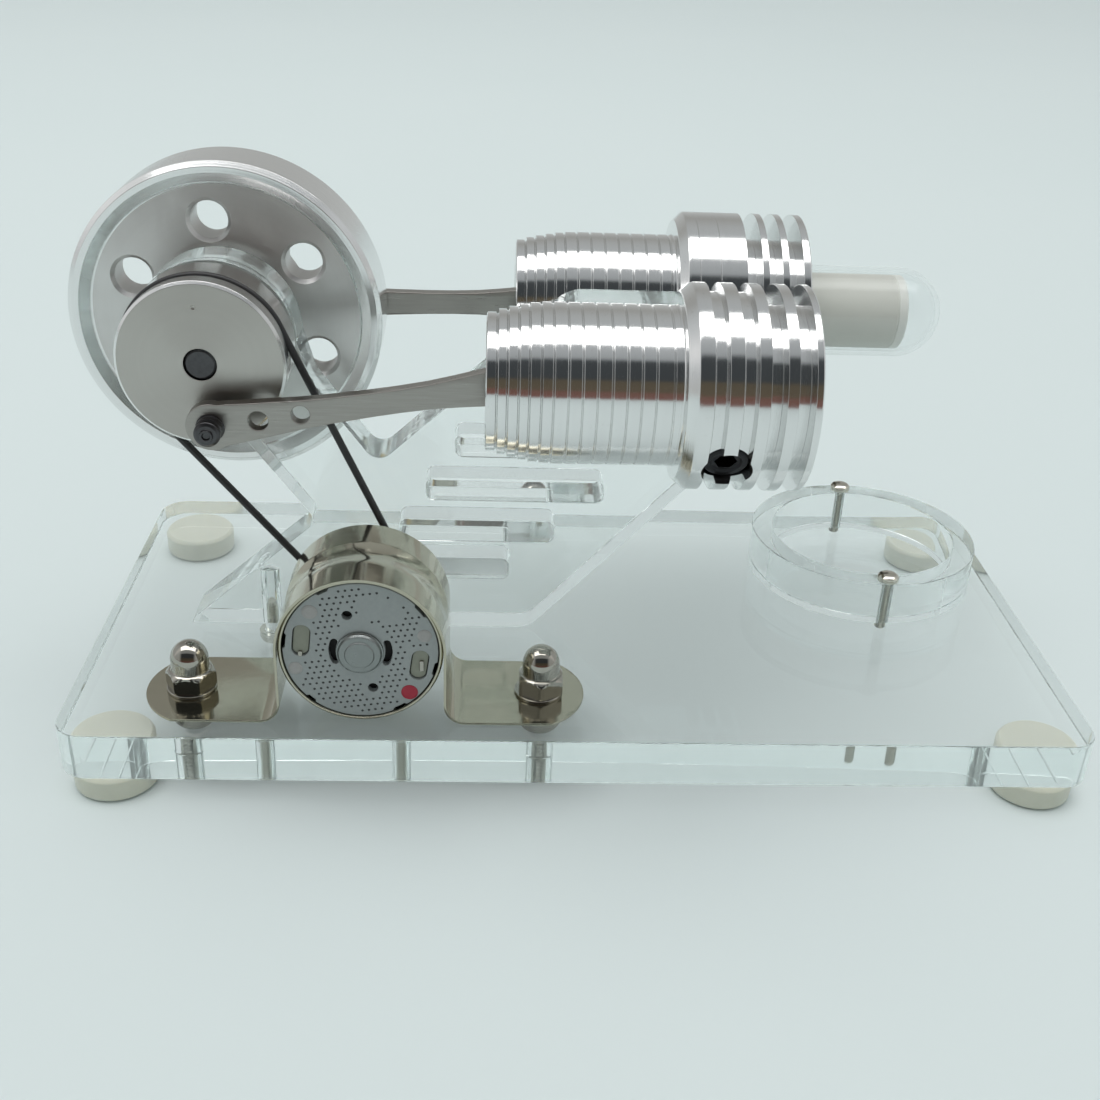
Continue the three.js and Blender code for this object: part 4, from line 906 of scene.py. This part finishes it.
PLUG_HOLE = [(7, 0), (7, 2.15), (10.6, 2.15), (10.6, 3.72), (20, 3.72), (20, 0)]
PLUG_PROFILE = [(8.6, 0), (8.6, 1.95), (10.7, 1.95), (10.7, 3.5), (13.1, 3.5, 0.3),
                (13.6, 3.2, 0.25), (13.6, 2.4, 0.1), (13.35, 2.1, 0.1), (13.35, 0)]
HEX_SOCKET = [(11.6, 0), (11.6, 1.7), (15, 1.7), (15, 0)]
cut(power_cylinder, [plug_lathe("cutter", PLUG_HOLE, POWER_METAL, 48)])
place(power_cylinder, "frame", "turned_aluminium", "power_cylinder")
plug = plug_lathe("plug_screw_turned", soften(PLUG_PROFILE, 0.08), OXIDE, 64)
cut(plug, [plug_lathe("cutter", HEX_SOCKET, OXIDE, 6)])
place(plug, "frame", "black_oxide", "cylinder_plug_screw")

# ---------------------------------------------------------------- displacer cylinder
FIN = 16.1
DISPLACER_BANDS = [-11.8, -10.2, -8.6, -6.9, -5.3, -3.6, -1.5, 0.8, 3.1, 5.4, 7.7, 10.0, 12.3,
                   14.2]
profile = [(-11.8, 10.4, 0.1)]
profile += bands(DISPLACER_BANDS, [10.6, 11.05, 11.4, 11.7, 11.95, 12.1] + [12.15] * 7)
profile += [(14.3, 11.9, 0.1), (14.45, 12.1, 0.1), (15.0, 12.15, 0.2), (15.1, 14.6, 0.3),
            (16.4, 16.0, 0.2), (16.8, FIN, 0.1)]
profile += hairline(18.3, FIN) + hairline(21.7, FIN)
for start, end in ((26.1, 28.6), (29.7, 31.9), (33.0, 35.4)):
    profile += groove(start, end, 11.7, FIN)
profile += [(36.5, FIN, 0.1), (36.7, 15.9, 0.1), (36.7, 7.9, 0.1), (34.4, 7.9), (34.4, 9.5),
            (32.6, 9.5), (32.6, 7.9), (15.2, 7.9), (15.2, 3.05), (6.2, 3.05), (6.2, 6.5),
            (-11.4, 6.5, 0.1), (-11.8, 6.9, 0.1), profile[0]]
displacer_cylinder = lathe("displacer_cylinder_turned_body", soften(profile, 0), "X", DISPLACER,
                           DISPLACER_METAL, 192)
limit_y(displacer_cylinder, max, UPRIGHT_Y1 + GAP)
place(displacer_cylinder, "frame", "turned_aluminium", "displacer_cylinder")

# ---------------------------------------------------------------- glass hot end, displacer
TUBE_START, TUBE_END, TUBE_RADIUS, TUBE_WALL = 18.2, 63.1, 7.75, 0.8
dome_x, tube_bore = TUBE_END - TUBE_RADIUS, TUBE_RADIUS - TUBE_WALL
tube_profile = [(dome_x + tube_bore, 0)] + arc(dome_x, 0, tube_bore, 6, 90, 14)
tube_profile += [(TUBE_START + 0.2, tube_bore), (TUBE_START, tube_bore + 0.2),
                 (TUBE_START, TUBE_RADIUS - 0.2), (TUBE_START + 0.2, TUBE_RADIUS)]
tube_profile += arc(dome_x, 0, TUBE_RADIUS, 90, 6, 14) + [(TUBE_END, 0)]
tube = lathe("hot_tube_blown", tube_profile, "X", DISPLACER, GLASS, 96, sharp=60)
place(tube, "frame", "clear_glass", "glass_hot_tube")

DISPLACER_PROFILE = [(34, 0), (34, 6.1, 0.3), (34.35, 6.4, 0.2), (54.1, 6.4, 0.05),
                     (54.2, 6.28, 0.03), (54.35, 6.28, 0.03), (54.45, 6.4, 0.05),
                     (55.7, 6.4, 0.2), (56, 6.1, 0.2), (56, 0)]
displacer = lathe("displacer_can_closed", soften(DISPLACER_PROFILE, 0.1), "X", DISPLACER, CAN, 96)
second_finish(displacer, CAN_RING, lambda p: p.x > (54.3 + BASE_X) * MM)
cut(displacer, [bore(33, 40, 1.3, "X", DISPLACER, CAN, 24)])
place(displacer, "displacer_body", "displacer_metal", "displacer")

# ---------------------------------------------------------------- generator can
CAN_Y = -36.0                               # front edge of the can
TROUGH_START, TROUGH_BOTTOM, TROUGH_END, TROUGH_DEPTH = -31.7, -27.3, -24.8, 0.55


def trough(y):
    """Depth of the groove round the can and the strap: soft at the front, a lip behind."""
    if not TROUGH_START < y < TROUGH_END:
        return 0.0
    if y < TROUGH_BOTTOM:
        run = (y - TROUGH_START) / (TROUGH_BOTTOM - TROUGH_START)
        return TROUGH_DEPTH * 0.5 * (1 - cos(pi * run))
    return TROUGH_DEPTH * cos(pi / 2 * (y - TROUGH_BOTTOM) / (TROUGH_END - TROUGH_BOTTOM))


trough_stations = [TROUGH_START + 0.3 * i for i in range(24)]
can_profile = shifted([(0.05, 12.05, 0.1), (0, 12.3, 0.1), (0.3, 12.6, 0.2)], CAN_Y)
can_profile += [(y, 12.6 - trough(y)) for y in trough_stations]
can_profile += [(-18.6, 12.6, 0.8), (-17.4, 11.3, 0.8), (-17.4, 2.3), (-18.2, 2.3),
                (-18.2, 11.8), (CAN_Y + 0.35, 11.95), (CAN_Y + 0.05, 12.05, 0.1)]
can = lathe("generator_can_drawn", soften(can_profile, 0.08), "Y", GENERATOR, NICKEL, 160)
place(can, "frame", "bright_nickel", "generator_can")

# ---------------------------------------------------------------- end cap
# Cap features are placed by (x, z) from the generator's axis.
CAP_HOLES = ((-1.88, 6.3), (1.75, -6.6))
# (x, z, half width, half height, tilt in degrees)
CAP_WINDOWS = ((-8.95, 1.75, 1.35, 2.75, -6), (8.9, -2.4, 1.35, 2.65, -8))
PANE_CLEARANCE = 0.13
CAP_NOTCHES = ((118, 5), (38, 6), (172, 6), (228, 4), (300, 5), (345, 5))  # centre, half angle
CAP_RIVETS = ((-7.43, 6.81, 1.2), (9.74, 2.9, 1.1), (-10.0, -3.19, 1.1))   # x, z, radius
RED_X, RED_Z = 7.36, -7.33


def kidney(start, end, inner, outer):
    """A curved slot with round ends."""
    middle, half = (inner + outer) / 2, (outer - inner) / 2
    far_end = arc(*polar(0, 0, middle, end), half, end, end + 180, 6)[1:-1]
    near_end = arc(*polar(0, 0, middle, start), half, start + 180, start + 360, 6)[1:-1]
    return (arc(0, 0, outer, start, end, 8) + far_end
            + arc(0, 0, inner, end, start, 8) + near_end)


def oval(x, z, half_width, half_height, tilt):
    box = rectangle(-half_width, -half_height, half_width, half_height, half_width * 0.98)
    turned_points = [rotated(u, v, tilt) for u, v in rounded(box, step=15.0)]
    return [(x + u, z + v) for u, v in turned_points]


def on_generator(loop):
    return [(x + GEN_X, z + GEN_Z) for x, z in loop]


cap_rim = []
for i in range(240):
    angle = 360 * i / 240
    notched = any(abs((angle - middle + 180) % 360 - 180) < half for middle, half in CAP_NOTCHES)
    cap_rim.append(polar(GEN_X, GEN_Z, 11.45 if notched else 11.82, angle))
cap_openings = [circle(x, z, 0.78, 28) for x, z in CAP_HOLES]
cap_openings += [kidney(158, 205, 3.75, 4.85), kidney(-27, 20, 3.75, 4.85)]
cap_openings += [oval(*window) for window in CAP_WINDOWS]
cap = plate("end_cap_pressed", cap_rim,
            [on_generator(loop) for loop in cap_openings] + [circle(GEN_X, GEN_Z, 1.4, 24)],
            CAN_Y + 0.25, CAN_Y + 1.4, 0.1, upright_plane, CAP)
# the near-black dimple colour, painted shade in the recesses
cap.data.materials.append(DIMPLE_PAINTED_SHADE)

# areas without dimples: (x, z, radius) and (x, z, half width, half height)
CLEAR_DISCS = ((-1.88, 6.3, 1.4), (1.75, -6.6, 1.4), (-7.43, 6.81, 1.7), (9.74, 2.9, 1.5),
               (-10.1, -3.19, 1.5), (7.36, -7.33, 1.9))
CLEAR_BOXES = ((-8.95, 1.75, 2.0, 3.5), (8.9, -2.4, 2.0, 3.4), (3.1, 7.4, 3.3, 2.0))


def has_dimple(x, z):
    if not 5.3 <= hypot(x, z) <= 10.9:
        return False
    if any(hypot(x - cx, z - cz) < radius for cx, cz, radius in CLEAR_DISCS):
        return False
    return not any(abs(x - cx) < half_x and abs(z - cz) < half_z
                   for cx, cz, half_x, half_z in CLEAR_BOXES)


def dimple_cutter():
    """Blunt pins in staggered rows, turned by 8 degrees."""
    bm = bmesh.new()
    field = [rotated((i + (0.5 if j % 2 else 0)) * 1.02, j * 0.98, 8)
             for i in range(-11, 12) for j in range(-11, 12)]
    for x, z in field:
        if not has_dimple(x, z):
            continue
        rings = []
        for radius, depth in ((0.21, -0.6), (0.21, 0.3), (0.12, 0.42)):
            rings.append([add_vertex(bm, GEN_X + x + radius * cos(t * pi / 4), CAN_Y + depth,
                                     GEN_Z + z + radius * sin(t * pi / 4)) for t in range(8)])
        for a, b in zip(rings, rings[1:]):
            for t in range(8):
                k = (t + 1) % 8
                bm.faces.new((a[t], a[k], b[k], b[t]))
        bm.faces.new(rings[0])
        bm.faces.new(rings[-1][::-1])
    return finish_mesh(bm, "cutter", DIMPLE_PAINTED_SHADE)


cut(cap, [dimple_cutter()], sharp=12.5)
place(cap, "frame", "grey_blue_cap", "generator_end_cap")

CUP_PROFILE = [(-0.95, 0), (-0.95, 2.15, 0.12), (-0.7, 2.3, 0.1), (-0.7, 3.15, 0.3),
               (-0.2, 3.4, 0.2), (-0.15, 3.62, 0.1), (0.22, 3.62), (0.22, 1.3), (3.6, 1.3),
               (3.6, 1.05), (0.6, 1.05), (0.6, 0)]
cup = lathe("bearing_cup_pressed", soften(shifted(CUP_PROFILE, CAN_Y), 0.06), "Y",
            (GEN_X - 0.1, 0, GEN_Z - 0.1), CUP, 72)
place(cup, "frame", "bearing_steel", "generator_front_bush")


def cap_lathe(profile, radius, x, z, material, segments):
    return lathe("part", soften(shifted(profile, CAN_Y), radius), "Y", (GEN_X + x, 0, GEN_Z + z),
                 material, segments)


# a near-black board behind the openings, painted shade for the dark inside of the can; red dot,
# window panes and round rivets
SHADE_BOARD_PROFILE = [(1.5, 1.6), (1.5, 11.6), (2.0, 11.6), (2.0, 1.6), (1.5, 1.6)]
RED_PROFILE = [(0.4, 0), (0.4, 1.3), (0.12, 1.3, 0.1), (0.08, 0.9, 0.1), (0.08, 0)]
details = [cap_lathe(SHADE_BOARD_PROFILE, 0.05, 0, 0, SHADE_BLACK, 64),
           cap_lathe(RED_PROFILE, 0.03, RED_X, RED_Z, RED, 40)]
for x, z, half_width, half_height, tilt in CAP_WINDOWS:
    pane = oval(x, z, half_width - PANE_CLEARANCE, half_height - PANE_CLEARANCE, tilt)
    details.append(plate("part", on_generator(pane), [], CAN_Y + 0.7, CAN_Y + 1.45, 0.08,
                         upright_plane, WINDOW))
for x, z, radius in CAP_RIVETS:
    rivet_profile = [(0.5, 0), (0.5, radius), (0.2, radius, 0.05), (0.1, radius - 0.35, 0.2),
                     (0.1, 0)]
    details.append(cap_lathe(rivet_profile, 0.03, x, z, RIVET, 32))
place(join("cap_details", details), "frame", "grey_blue_cap")

for side, x, z in (("left", -9.2, -1.1), ("right", 9.25, -2.6)):
    outline = rectangle(x - 0.35 + GEN_X, z - 1.0 + GEN_Z, x + 0.35 + GEN_X, z + 0.9 + GEN_Z, 0.2)
    tab = plate(f"terminal_{side}_tab", rounded(outline, step=30), [], CAN_Y + 0.3, CAN_Y + 3.9,
                0.12, upright_plane, NUT)
    place(tab, "frame", "brass", f"generator_terminal_{side}")

# ---------------------------------------------------------------- clamp strap
STRAP_RADIUS, STRAP_THICKNESS, STRAP_BEND = 12.66, 0.40, 3.0
STRAP_Y0, STRAP_Y1, STRAP_Z = -36.8, -18.8, BASE_TOP + GAP
EAR_X, EAR_Y, EAR_RADIUS = 24.7, -27.6, 10.4     # centre and radius of the round ear ends


def ear_edges(x):
    """Front and rear edge of the ear at x."""
    beyond = abs(x) - EAR_X
    if beyond <= 0:
        return STRAP_Y0, STRAP_Y1
    half = sqrt(max(0.0, EAR_RADIUS ** 2 - beyond * beyond))
    return max(STRAP_Y0, EAR_Y - half), min(STRAP_Y1, EAR_Y + half)


def strap_path():
    """(x, z, normal x, normal z, kind) on the strap's inner face, from the right ear's tip
    over the arch to the left ear's tip."""
    corners = [EAR_X + sqrt(EAR_RADIUS ** 2 - (edge - EAR_Y) ** 2) for edge in (STRAP_Y0, STRAP_Y1)]
    tip = [EAR_X + EAR_RADIUS * sin(radians(86 - 7 * i)) for i in range(12)]
    half = [(x, STRAP_Z, 0, 1, "ear") for x in sorted(tip + corners + [EAR_X], reverse=True)]
    outer_bend = STRAP_BEND + STRAP_THICKNESS
    bend_x, bend_z = STRAP_RADIUS + outer_bend, STRAP_Z + outer_bend
    half += [(EAR_X - (EAR_X - bend_x) * i / 6, STRAP_Z, 0, 1, "ear") for i in range(1, 6)]
    for i in range(11):
        angle = 270 - 90 * i / 10
        x, z = polar(bend_x, bend_z, outer_bend, angle)
        half.append((x, z, -cos(radians(angle)), -sin(radians(angle)), "bend"))
    half += [(STRAP_RADIUS, bend_z + (GEN_Z - bend_z) * i / 8, 1, 0, "leg") for i in range(1, 8)]
    arch = [(*polar(0, GEN_Z, STRAP_RADIUS, angle), *polar(0, 0, 1, angle), "arch")
            for angle in range(0, 181, 3)]
    return half + arch + [(-x, z, -nx, nz, kind) for x, z, nx, nz, kind in reversed(half)]


def strap_bm():
    bm = bmesh.new()
    stations = [STRAP_Y0, -35.6, -34.4, -33.2, -32.2]
    stations += [TROUGH_START + 0.4 * i for i in range(17)]
    stations += [-24.95, -24.8, -24.5, -23.9, -22.8, -21.5, -20.1, STRAP_Y1]
    inner, outer = [], []
    for x, z, nx, nz, kind in strap_path():
        y0, y1 = ear_edges(x) if kind == "ear" else (STRAP_Y0, STRAP_Y1)
        fade = max(0.0, min(1.0, (nz - 0.04) / 0.36)) if kind == "arch" else 0.0
        fade = fade * fade * (3 - 2 * fade)
        for rows, offset in ((inner, 0.0), (outer, STRAP_THICKNESS)):
            row = []
            for y in stations:
                lift = offset - fade * trough(y)
                across = y0 + (y1 - y0) * (y - STRAP_Y0) / (STRAP_Y1 - STRAP_Y0)
                row.append(add_vertex(bm, GEN_X + x + nx * lift, across, z + nz * lift))
            rows.append(row)
    last = len(stations) - 1
    for rows in (inner, outer):
        for a, b in zip(rows, rows[1:]):
            for j in range(last):
                bm.faces.new((a[j], a[j + 1], b[j + 1], b[j]))
    for a, b, c, d in zip(inner, inner[1:], outer, outer[1:]):
        bm.faces.new((a[0], b[0], d[0], c[0]))
        bm.faces.new((a[-1], b[-1], d[-1], c[-1]))
    for a, b in ((inner[0], outer[0]), (inner[-1], outer[-1])):
        for j in range(last):
            bm.faces.new((a[j], a[j + 1], b[j + 1], b[j]))
    bmesh.ops.recalc_face_normals(bm, faces=bm.faces[:])
    edges = [edge for edge in bm.edges if edge.calc_face_angle(0.0) > radians(50)]
    bmesh.ops.bevel(bm, geom=edges, offset=0.08 * MM, segments=2, affect="EDGES", profile=0.6)
    return bm


clamp = finish_mesh(strap_bm(), "clamp_bent_strap", NICKEL)
cut(clamp, [bore(BASE_TOP - 1, BASE_TOP + 3, 2.15, "Z", (x, CLAMP_BOLT_Y, 0), NICKEL, 32)
            for x in CLAMP_BOLT_X])
place(clamp, "frame", "bright_nickel", "generator_clamp")

# ---------------------------------------------------------------- bolts, washers, dome nuts
WASHER_Z0 = STRAP_Z + STRAP_THICKNESS + GAP
WASHER_Z1 = WASHER_Z0 + 0.5
NUT_Z = WASHER_Z1 + GAP
BOLT_HEAD = [(2.05, 0), (2.05, 1.6), (2.12, 2.4), (2.4, 3.05), (3.0, 3.45), (FOOT_TOP, 3.5),
             (FOOT_TOP, 1.95)]
WASHER_PROFILE = [(WASHER_Z0, 2.3), (WASHER_Z0, 3.95, 0.12), (WASHER_Z1, 3.95, 0.18),
                  (WASHER_Z1, 2.3), (WASHER_Z0, 2.3)]
NUT_HEX_TOP, NUT_HALF_FLATS = 3.3, 3.5
NUT_PROFILE = [                     # along is measured from the nut's underside
    (5.9, 0), (5.9, 2.03), (0, 2.05), (0, 3.75), (0.12, 3.9), (0.3, 4.06), (2.4, 4.06),
    (2.6, 3.88), (2.8, 3.68), (3.0, 3.46), (3.12, 3.3), (3.18, 3.12), (NUT_HEX_TOP, 3.02),
    (3.5, 3.0), (4.85, 3.0)]
dome_angles = [radians(90 * k / 12) for k in range(1, 12)]
NUT_PROFILE += [(4.9 + 3.1 * sin(angle), 3.0 * cos(angle)) for angle in dome_angles]
NUT_PROFILE.append((8.0, 0))


def hexagon(turn):
    """Radius function that cuts six flats up to the foot of the dome."""
    def radius_at(along, radius, angle):
        if along > NUT_Z + NUT_HEX_TOP or radius < 2.4:
            return radius
        return min(radius, NUT_HALF_FLATS / cos((angle - turn) % radians(60) - radians(30)))
    return radius_at


# the left nut has a flat to the front, the right nut a corner
for side, x, washer_x, turn in (("left", CLAMP_BOLT_X[0], CLAMP_BOLT_X[0], 0.0),
                                ("right", CLAMP_BOLT_X[1], CLAMP_BOLT_X[1] - 0.3, radians(30))):
    centre = (x, CLAMP_BOLT_Y, 0)
    bolt = screw(f"clamp_bolt_{side}_turned", centre, BOLT_HEAD,
                 (4.6, NUT_Z + 5.4, 1.6, 1.97, 0.7), [(NUT_Z + 5.8, 1.5), (NUT_Z + 5.8, 0)],
                 (1.9, 1.5, 3.2, 0.75), NUT, 36)
    place(bolt, "frame", "bright_nickel", f"clamp_bolt_{side}")
    washer = lathe(f"clamp_washer_{side}_pressed", soften(WASHER_PROFILE, 0.08), "Z",
                   (washer_x, CLAMP_BOLT_Y, 0), NUT, 72)
    place(washer, "frame", "bright_nickel", f"clamp_washer_{side}")
    nut = lathe(f"dome_nut_{side}_polished", shifted(NUT_PROFILE, NUT_Z), "Z", centre, NUT, 144,
                hexagon(turn), sharp=24)
    place(nut, "frame", "bright_nickel", f"dome_nut_{side}")

# ---------------------------------------------------------------- belt
BELT_DISC_RADIUS, BELT_PULLEY_RADIUS, BELT_HALF = 12.48, 6.29, 0.6
BELT_SIDES = 16


def wrap(x, z, radius, start, sweep, steps):
    """(x, z, normal x, normal z) round a pulley, angles in radians."""
    angles = [start + sweep * i / steps for i in range(steps + 1)]
    return [(x + radius * cos(a), z + radius * sin(a), cos(a), sin(a)) for a in angles]


def span(first, last, steps=24):
    """The points between two pulleys, without the ends."""
    return [(first[0] + (last[0] - first[0]) * (i / steps),
             first[1] + (last[1] - first[1]) * (i / steps), *first[2:]) for i in range(1, steps)]


dx, dz = GEN_X - SHAFT_X, GEN_Z - SHAFT_Z
heading = atan2(dz, dx)
opening = acos((BELT_DISC_RADIUS - BELT_PULLEY_RADIUS) / hypot(dx, dz))
round_disc = wrap(SHAFT_X, SHAFT_Z, BELT_DISC_RADIUS, heading + opening, 2 * pi - 2 * opening, 72)
round_pulley = wrap(GEN_X, GEN_Z, BELT_PULLEY_RADIUS, heading - opening, 2 * opening, 40)
belt_path = (round_disc + span(round_disc[-1], round_pulley[0])
             + round_pulley + span(round_pulley[-1], round_disc[0]))
bm = bmesh.new()
rings = []
for x, z, nx, nz in belt_path:
    section = []
    for j in range(BELT_SIDES):
        angle = 2 * pi * j / BELT_SIDES
        out = BELT_HALF * cos(angle)
        section.append(add_vertex(bm, x + nx * out, BELT_Y + BELT_HALF * sin(angle), z + nz * out))
    rings.append(section)
for a, b in zip(rings, rings[1:] + rings[:1]):
    for j in range(BELT_SIDES):
        k = (j + 1) % BELT_SIDES
        bm.faces.new((a[j], a[k], b[k], b[j]))
belt = finish_mesh(bm, "drive_belt_round", RUBBER, sharp=60)
place(belt, "frame", "black_rubber", "drive_belt")

# ---------------------------------------------------------------- finishes of kept CAD pieces
KEPT = (
    (STEEL, ("cylinder_stud_1", "cylinder_stud_2", "front_wrist_pin", "rear_wrist_pin",
             "displacer_rod", "displacer_clevis", "power_piston", "generator_shaft",
             "bearing_front_outer_ring", "bearing_front_inner_ring", "bearing_front_ball_cage",
             "bearing_rear_outer_ring", "bearing_rear_inner_ring", "bearing_rear_ball_cage")),
    (OXIDE, ("flywheel_set_screw", "crank_disc_set_screw")),
    (BRASS, ("gland_bush", "generator_rear_bush", "generator_pulley")),
    (COPPER, ("generator_armature", "generator_commutator")),
    (MAGNET, ("generator_magnet_upper", "generator_magnet_lower")),
    (RUBBER, ("glass_seal_ring",)),
)
for material, names in KEPT:
    for name in names:
        materials = cad_nodes[name].data.materials
        materials.clear()
        materials.append(material)


# ---------------------------------------------------------------- floor
def floor_material(name):
    g = new_graph(name)
    point = g.object_point()
    cloud = g.noise(point, scale=3.0, detail=2.0)
    grain = g.noise(point, scale=900.0, detail=4.0)
    return g.finish(g.add("BsdfPrincipled", {
        "Base Color": g.mix(cloud, (0.66, 0.735, 0.735), (0.69, 0.755, 0.755)),
        "Roughness": 0.75, "Normal": g.bump(grain, strength=0.08, distance=0.0001),
        "Specular IOR Level": 0.2}))


bm = bmesh.new()
bmesh.ops.create_grid(bm, x_segments=2, y_segments=2, size=4.0)
finish_mesh(bm, "studio_floor", floor_material("studio_floor"), recalc=False)

# ---------------------------------------------------------------- world
# Stops are (degrees, colour): 0 is the front horizon, 90 overhead, 180 the back horizon.
ROOM_FROM, ROOM_SPAN = -20, 240.0
ROOM_STOPS = [
    (-20, (0.55, 0.57, 0.57)), (-1, (0.55, 0.57, 0.57)), (0.5, (0.17, 0.09, 0.075)),
    (9, (0.17, 0.09, 0.075)), (11, (0.11, 0.09, 0.065)), (25, (0.10, 0.085, 0.06)),
    (27, (0.05, 0.056, 0.06)), (53, (0.055, 0.061, 0.065)), (57, (0.36, 0.38, 0.39)),
    (77, (0.46, 0.48, 0.49)), (79, (1, 1, 1)), (107, (1, 1, 1)), (109, (0.46, 0.48, 0.49)),
    (128, (0.44, 0.455, 0.455)), (150, (0.36, 0.36, 0.345)), (168, (0.45, 0.46, 0.45)),
    (200, (0.62, 0.64, 0.64))]
SIDE_STOPS = [
    (-20, (0.6, 0.62, 0.62)), (10, (0.5, 0.51, 0.5)), (60, (0.55, 0.57, 0.58)),
    (90, (0.9, 0.9, 0.9)), (120, (0.55, 0.57, 0.58)), (200, (0.6, 0.62, 0.62))]
LAMP_ANGLE, LAMP_GAIN = 93.0, 2.6           # middle of the overhead lamp, its extra strength
TRANSMITTED_PALE = 0.85                     # share of the pale colour seen through clear pieces


def build_world(name):
    world = bpy.data.worlds.new(name)
    bpy.context.scene.world = world
    g = Graph(world, "ShaderNodeOutputWorld")
    direction = g.node("TexCoord").outputs["Generated"]
    x, y, z = g.node("SeparateXYZ", {0: direction}).outputs
    angle = g.math("ARCTAN2", z, g.math("MULTIPLY", y, -1.0))
    angle = g.math("MULTIPLY", angle, 180 / pi)
    wrapped = g.math("MULTIPLY", g.math("LESS_THAN", angle, -90.0), 360.0)
    angle = g.math("ADD", angle, wrapped)
    factor = g.math("MULTIPLY_ADD", angle, 1 / ROOM_SPAN, -ROOM_FROM / ROOM_SPAN, clamp=True)
    room, sides = [g.ramp(factor, [((degrees - ROOM_FROM) / ROOM_SPAN, color)
                                   for degrees, color in stops])
                   for stops in (ROOM_STOPS, SIDE_STOPS)]
    sideways = g.math("ABSOLUTE", x)
    side_mask = g.add("MapRange", {"Value": sideways, "From Min": 0.55, "From Max": 0.8},
                      interpolation_type="SMOOTHSTEP")

    def falloff(value, full, none):
        return g.add("MapRange", {"Value": value, "From Min": full, "From Max": none,
                                  "To Min": 1.0, "To Max": 0.0})

    off_lamp = g.math("ABSOLUTE", g.math("SUBTRACT", angle, LAMP_ANGLE))
    lamp = g.math("MULTIPLY", falloff(off_lamp, full=14.0, none=15.5),
                  falloff(sideways, full=0.62, none=0.66))

    def background(color, strength=1.0):
        return g.add("Background", {"Color": color, "Strength": strength})

    rays = g.node("LightPath").outputs
    studio = background(g.mix(side_mask, room, sides),
                        g.math("MULTIPLY_ADD", lamp, LAMP_GAIN, 1.0))
    pale = background((0.60, 0.67, 0.67))
    even = background((0.56, 0.585, 0.585))
    wall = background((0.665, 0.74, 0.735))     # what the camera itself sees past the floor
    pale_share = g.math("MULTIPLY", rays["Is Transmission Ray"], TRANSMITTED_PALE)
    shader = g.mix_shader(pale_share, studio, pale)
    shader = g.mix_shader(rays["Is Diffuse Ray"], shader, even)
    g.finish(g.mix_shader(rays["Is Camera Ray"], shader, wall))


build_world("studio")

# ---------------------------------------------------------------- light, in metres
light = bpy.data.lights.new("softbox", "AREA")
light.shape = "RECTANGLE"
light.size, light.size_y, light.energy = 1.4, 1.0, 6.0
light.color = (1.0, 0.995, 0.98)
softbox = bpy.data.objects.new("softbox", light)
bpy.context.scene.collection.objects.link(softbox)
softbox.location = (-0.25, 0.15, 1.3)
light_target = Vector((0, 0, 0.03))
aim = light_target - Vector(softbox.location)
softbox.rotation_euler = aim.to_track_quat("-Z", "Y").to_euler()
softbox.visible_glossy = False

# ---------------------------------------------------------------- camera
CAMERA_X, CAMERA_Y, CAMERA_Z = -15.96, -206.64, 134.15
CAMERA_YAW, CAMERA_PITCH, CAMERA_ROLL = 0.0546, radians(27.97), 0.0436      # radians
forward = Vector((sin(CAMERA_YAW) * cos(CAMERA_PITCH), cos(CAMERA_YAW) * cos(CAMERA_PITCH),
                  -sin(CAMERA_PITCH)))
level_right = Vector((cos(CAMERA_YAW), -sin(CAMERA_YAW), 0))
level_up = level_right.cross(forward)
right = cos(CAMERA_ROLL) * level_right + sin(CAMERA_ROLL) * level_up
up = -sin(CAMERA_ROLL) * level_right + cos(CAMERA_ROLL) * level_up
lens = bpy.data.cameras.new("camera")
lens.sensor_width = 36.0
lens.lens = 43.1901818
lens.clip_start, lens.clip_end = 0.01, 20
camera = bpy.data.objects.new("camera", lens)
bpy.context.scene.collection.objects.link(camera)
camera.matrix_world = Matrix((
    (right.x, up.x, -forward.x, (CAMERA_X + BASE_X) * MM),
    (right.y, up.y, -forward.y, CAMERA_Y * MM),
    (right.z, up.z, -forward.z, CAMERA_Z * MM),
    (0, 0, 0, 1)))

scene = bpy.context.scene
scene.camera = camera
scene.view_settings.view_transform = "Standard"
scene.cycles.max_bounces = 36
scene.cycles.transmission_bounces = 30
scene.cycles.glossy_bounces = 14
scene.cycles.transparent_max_bounces = 24
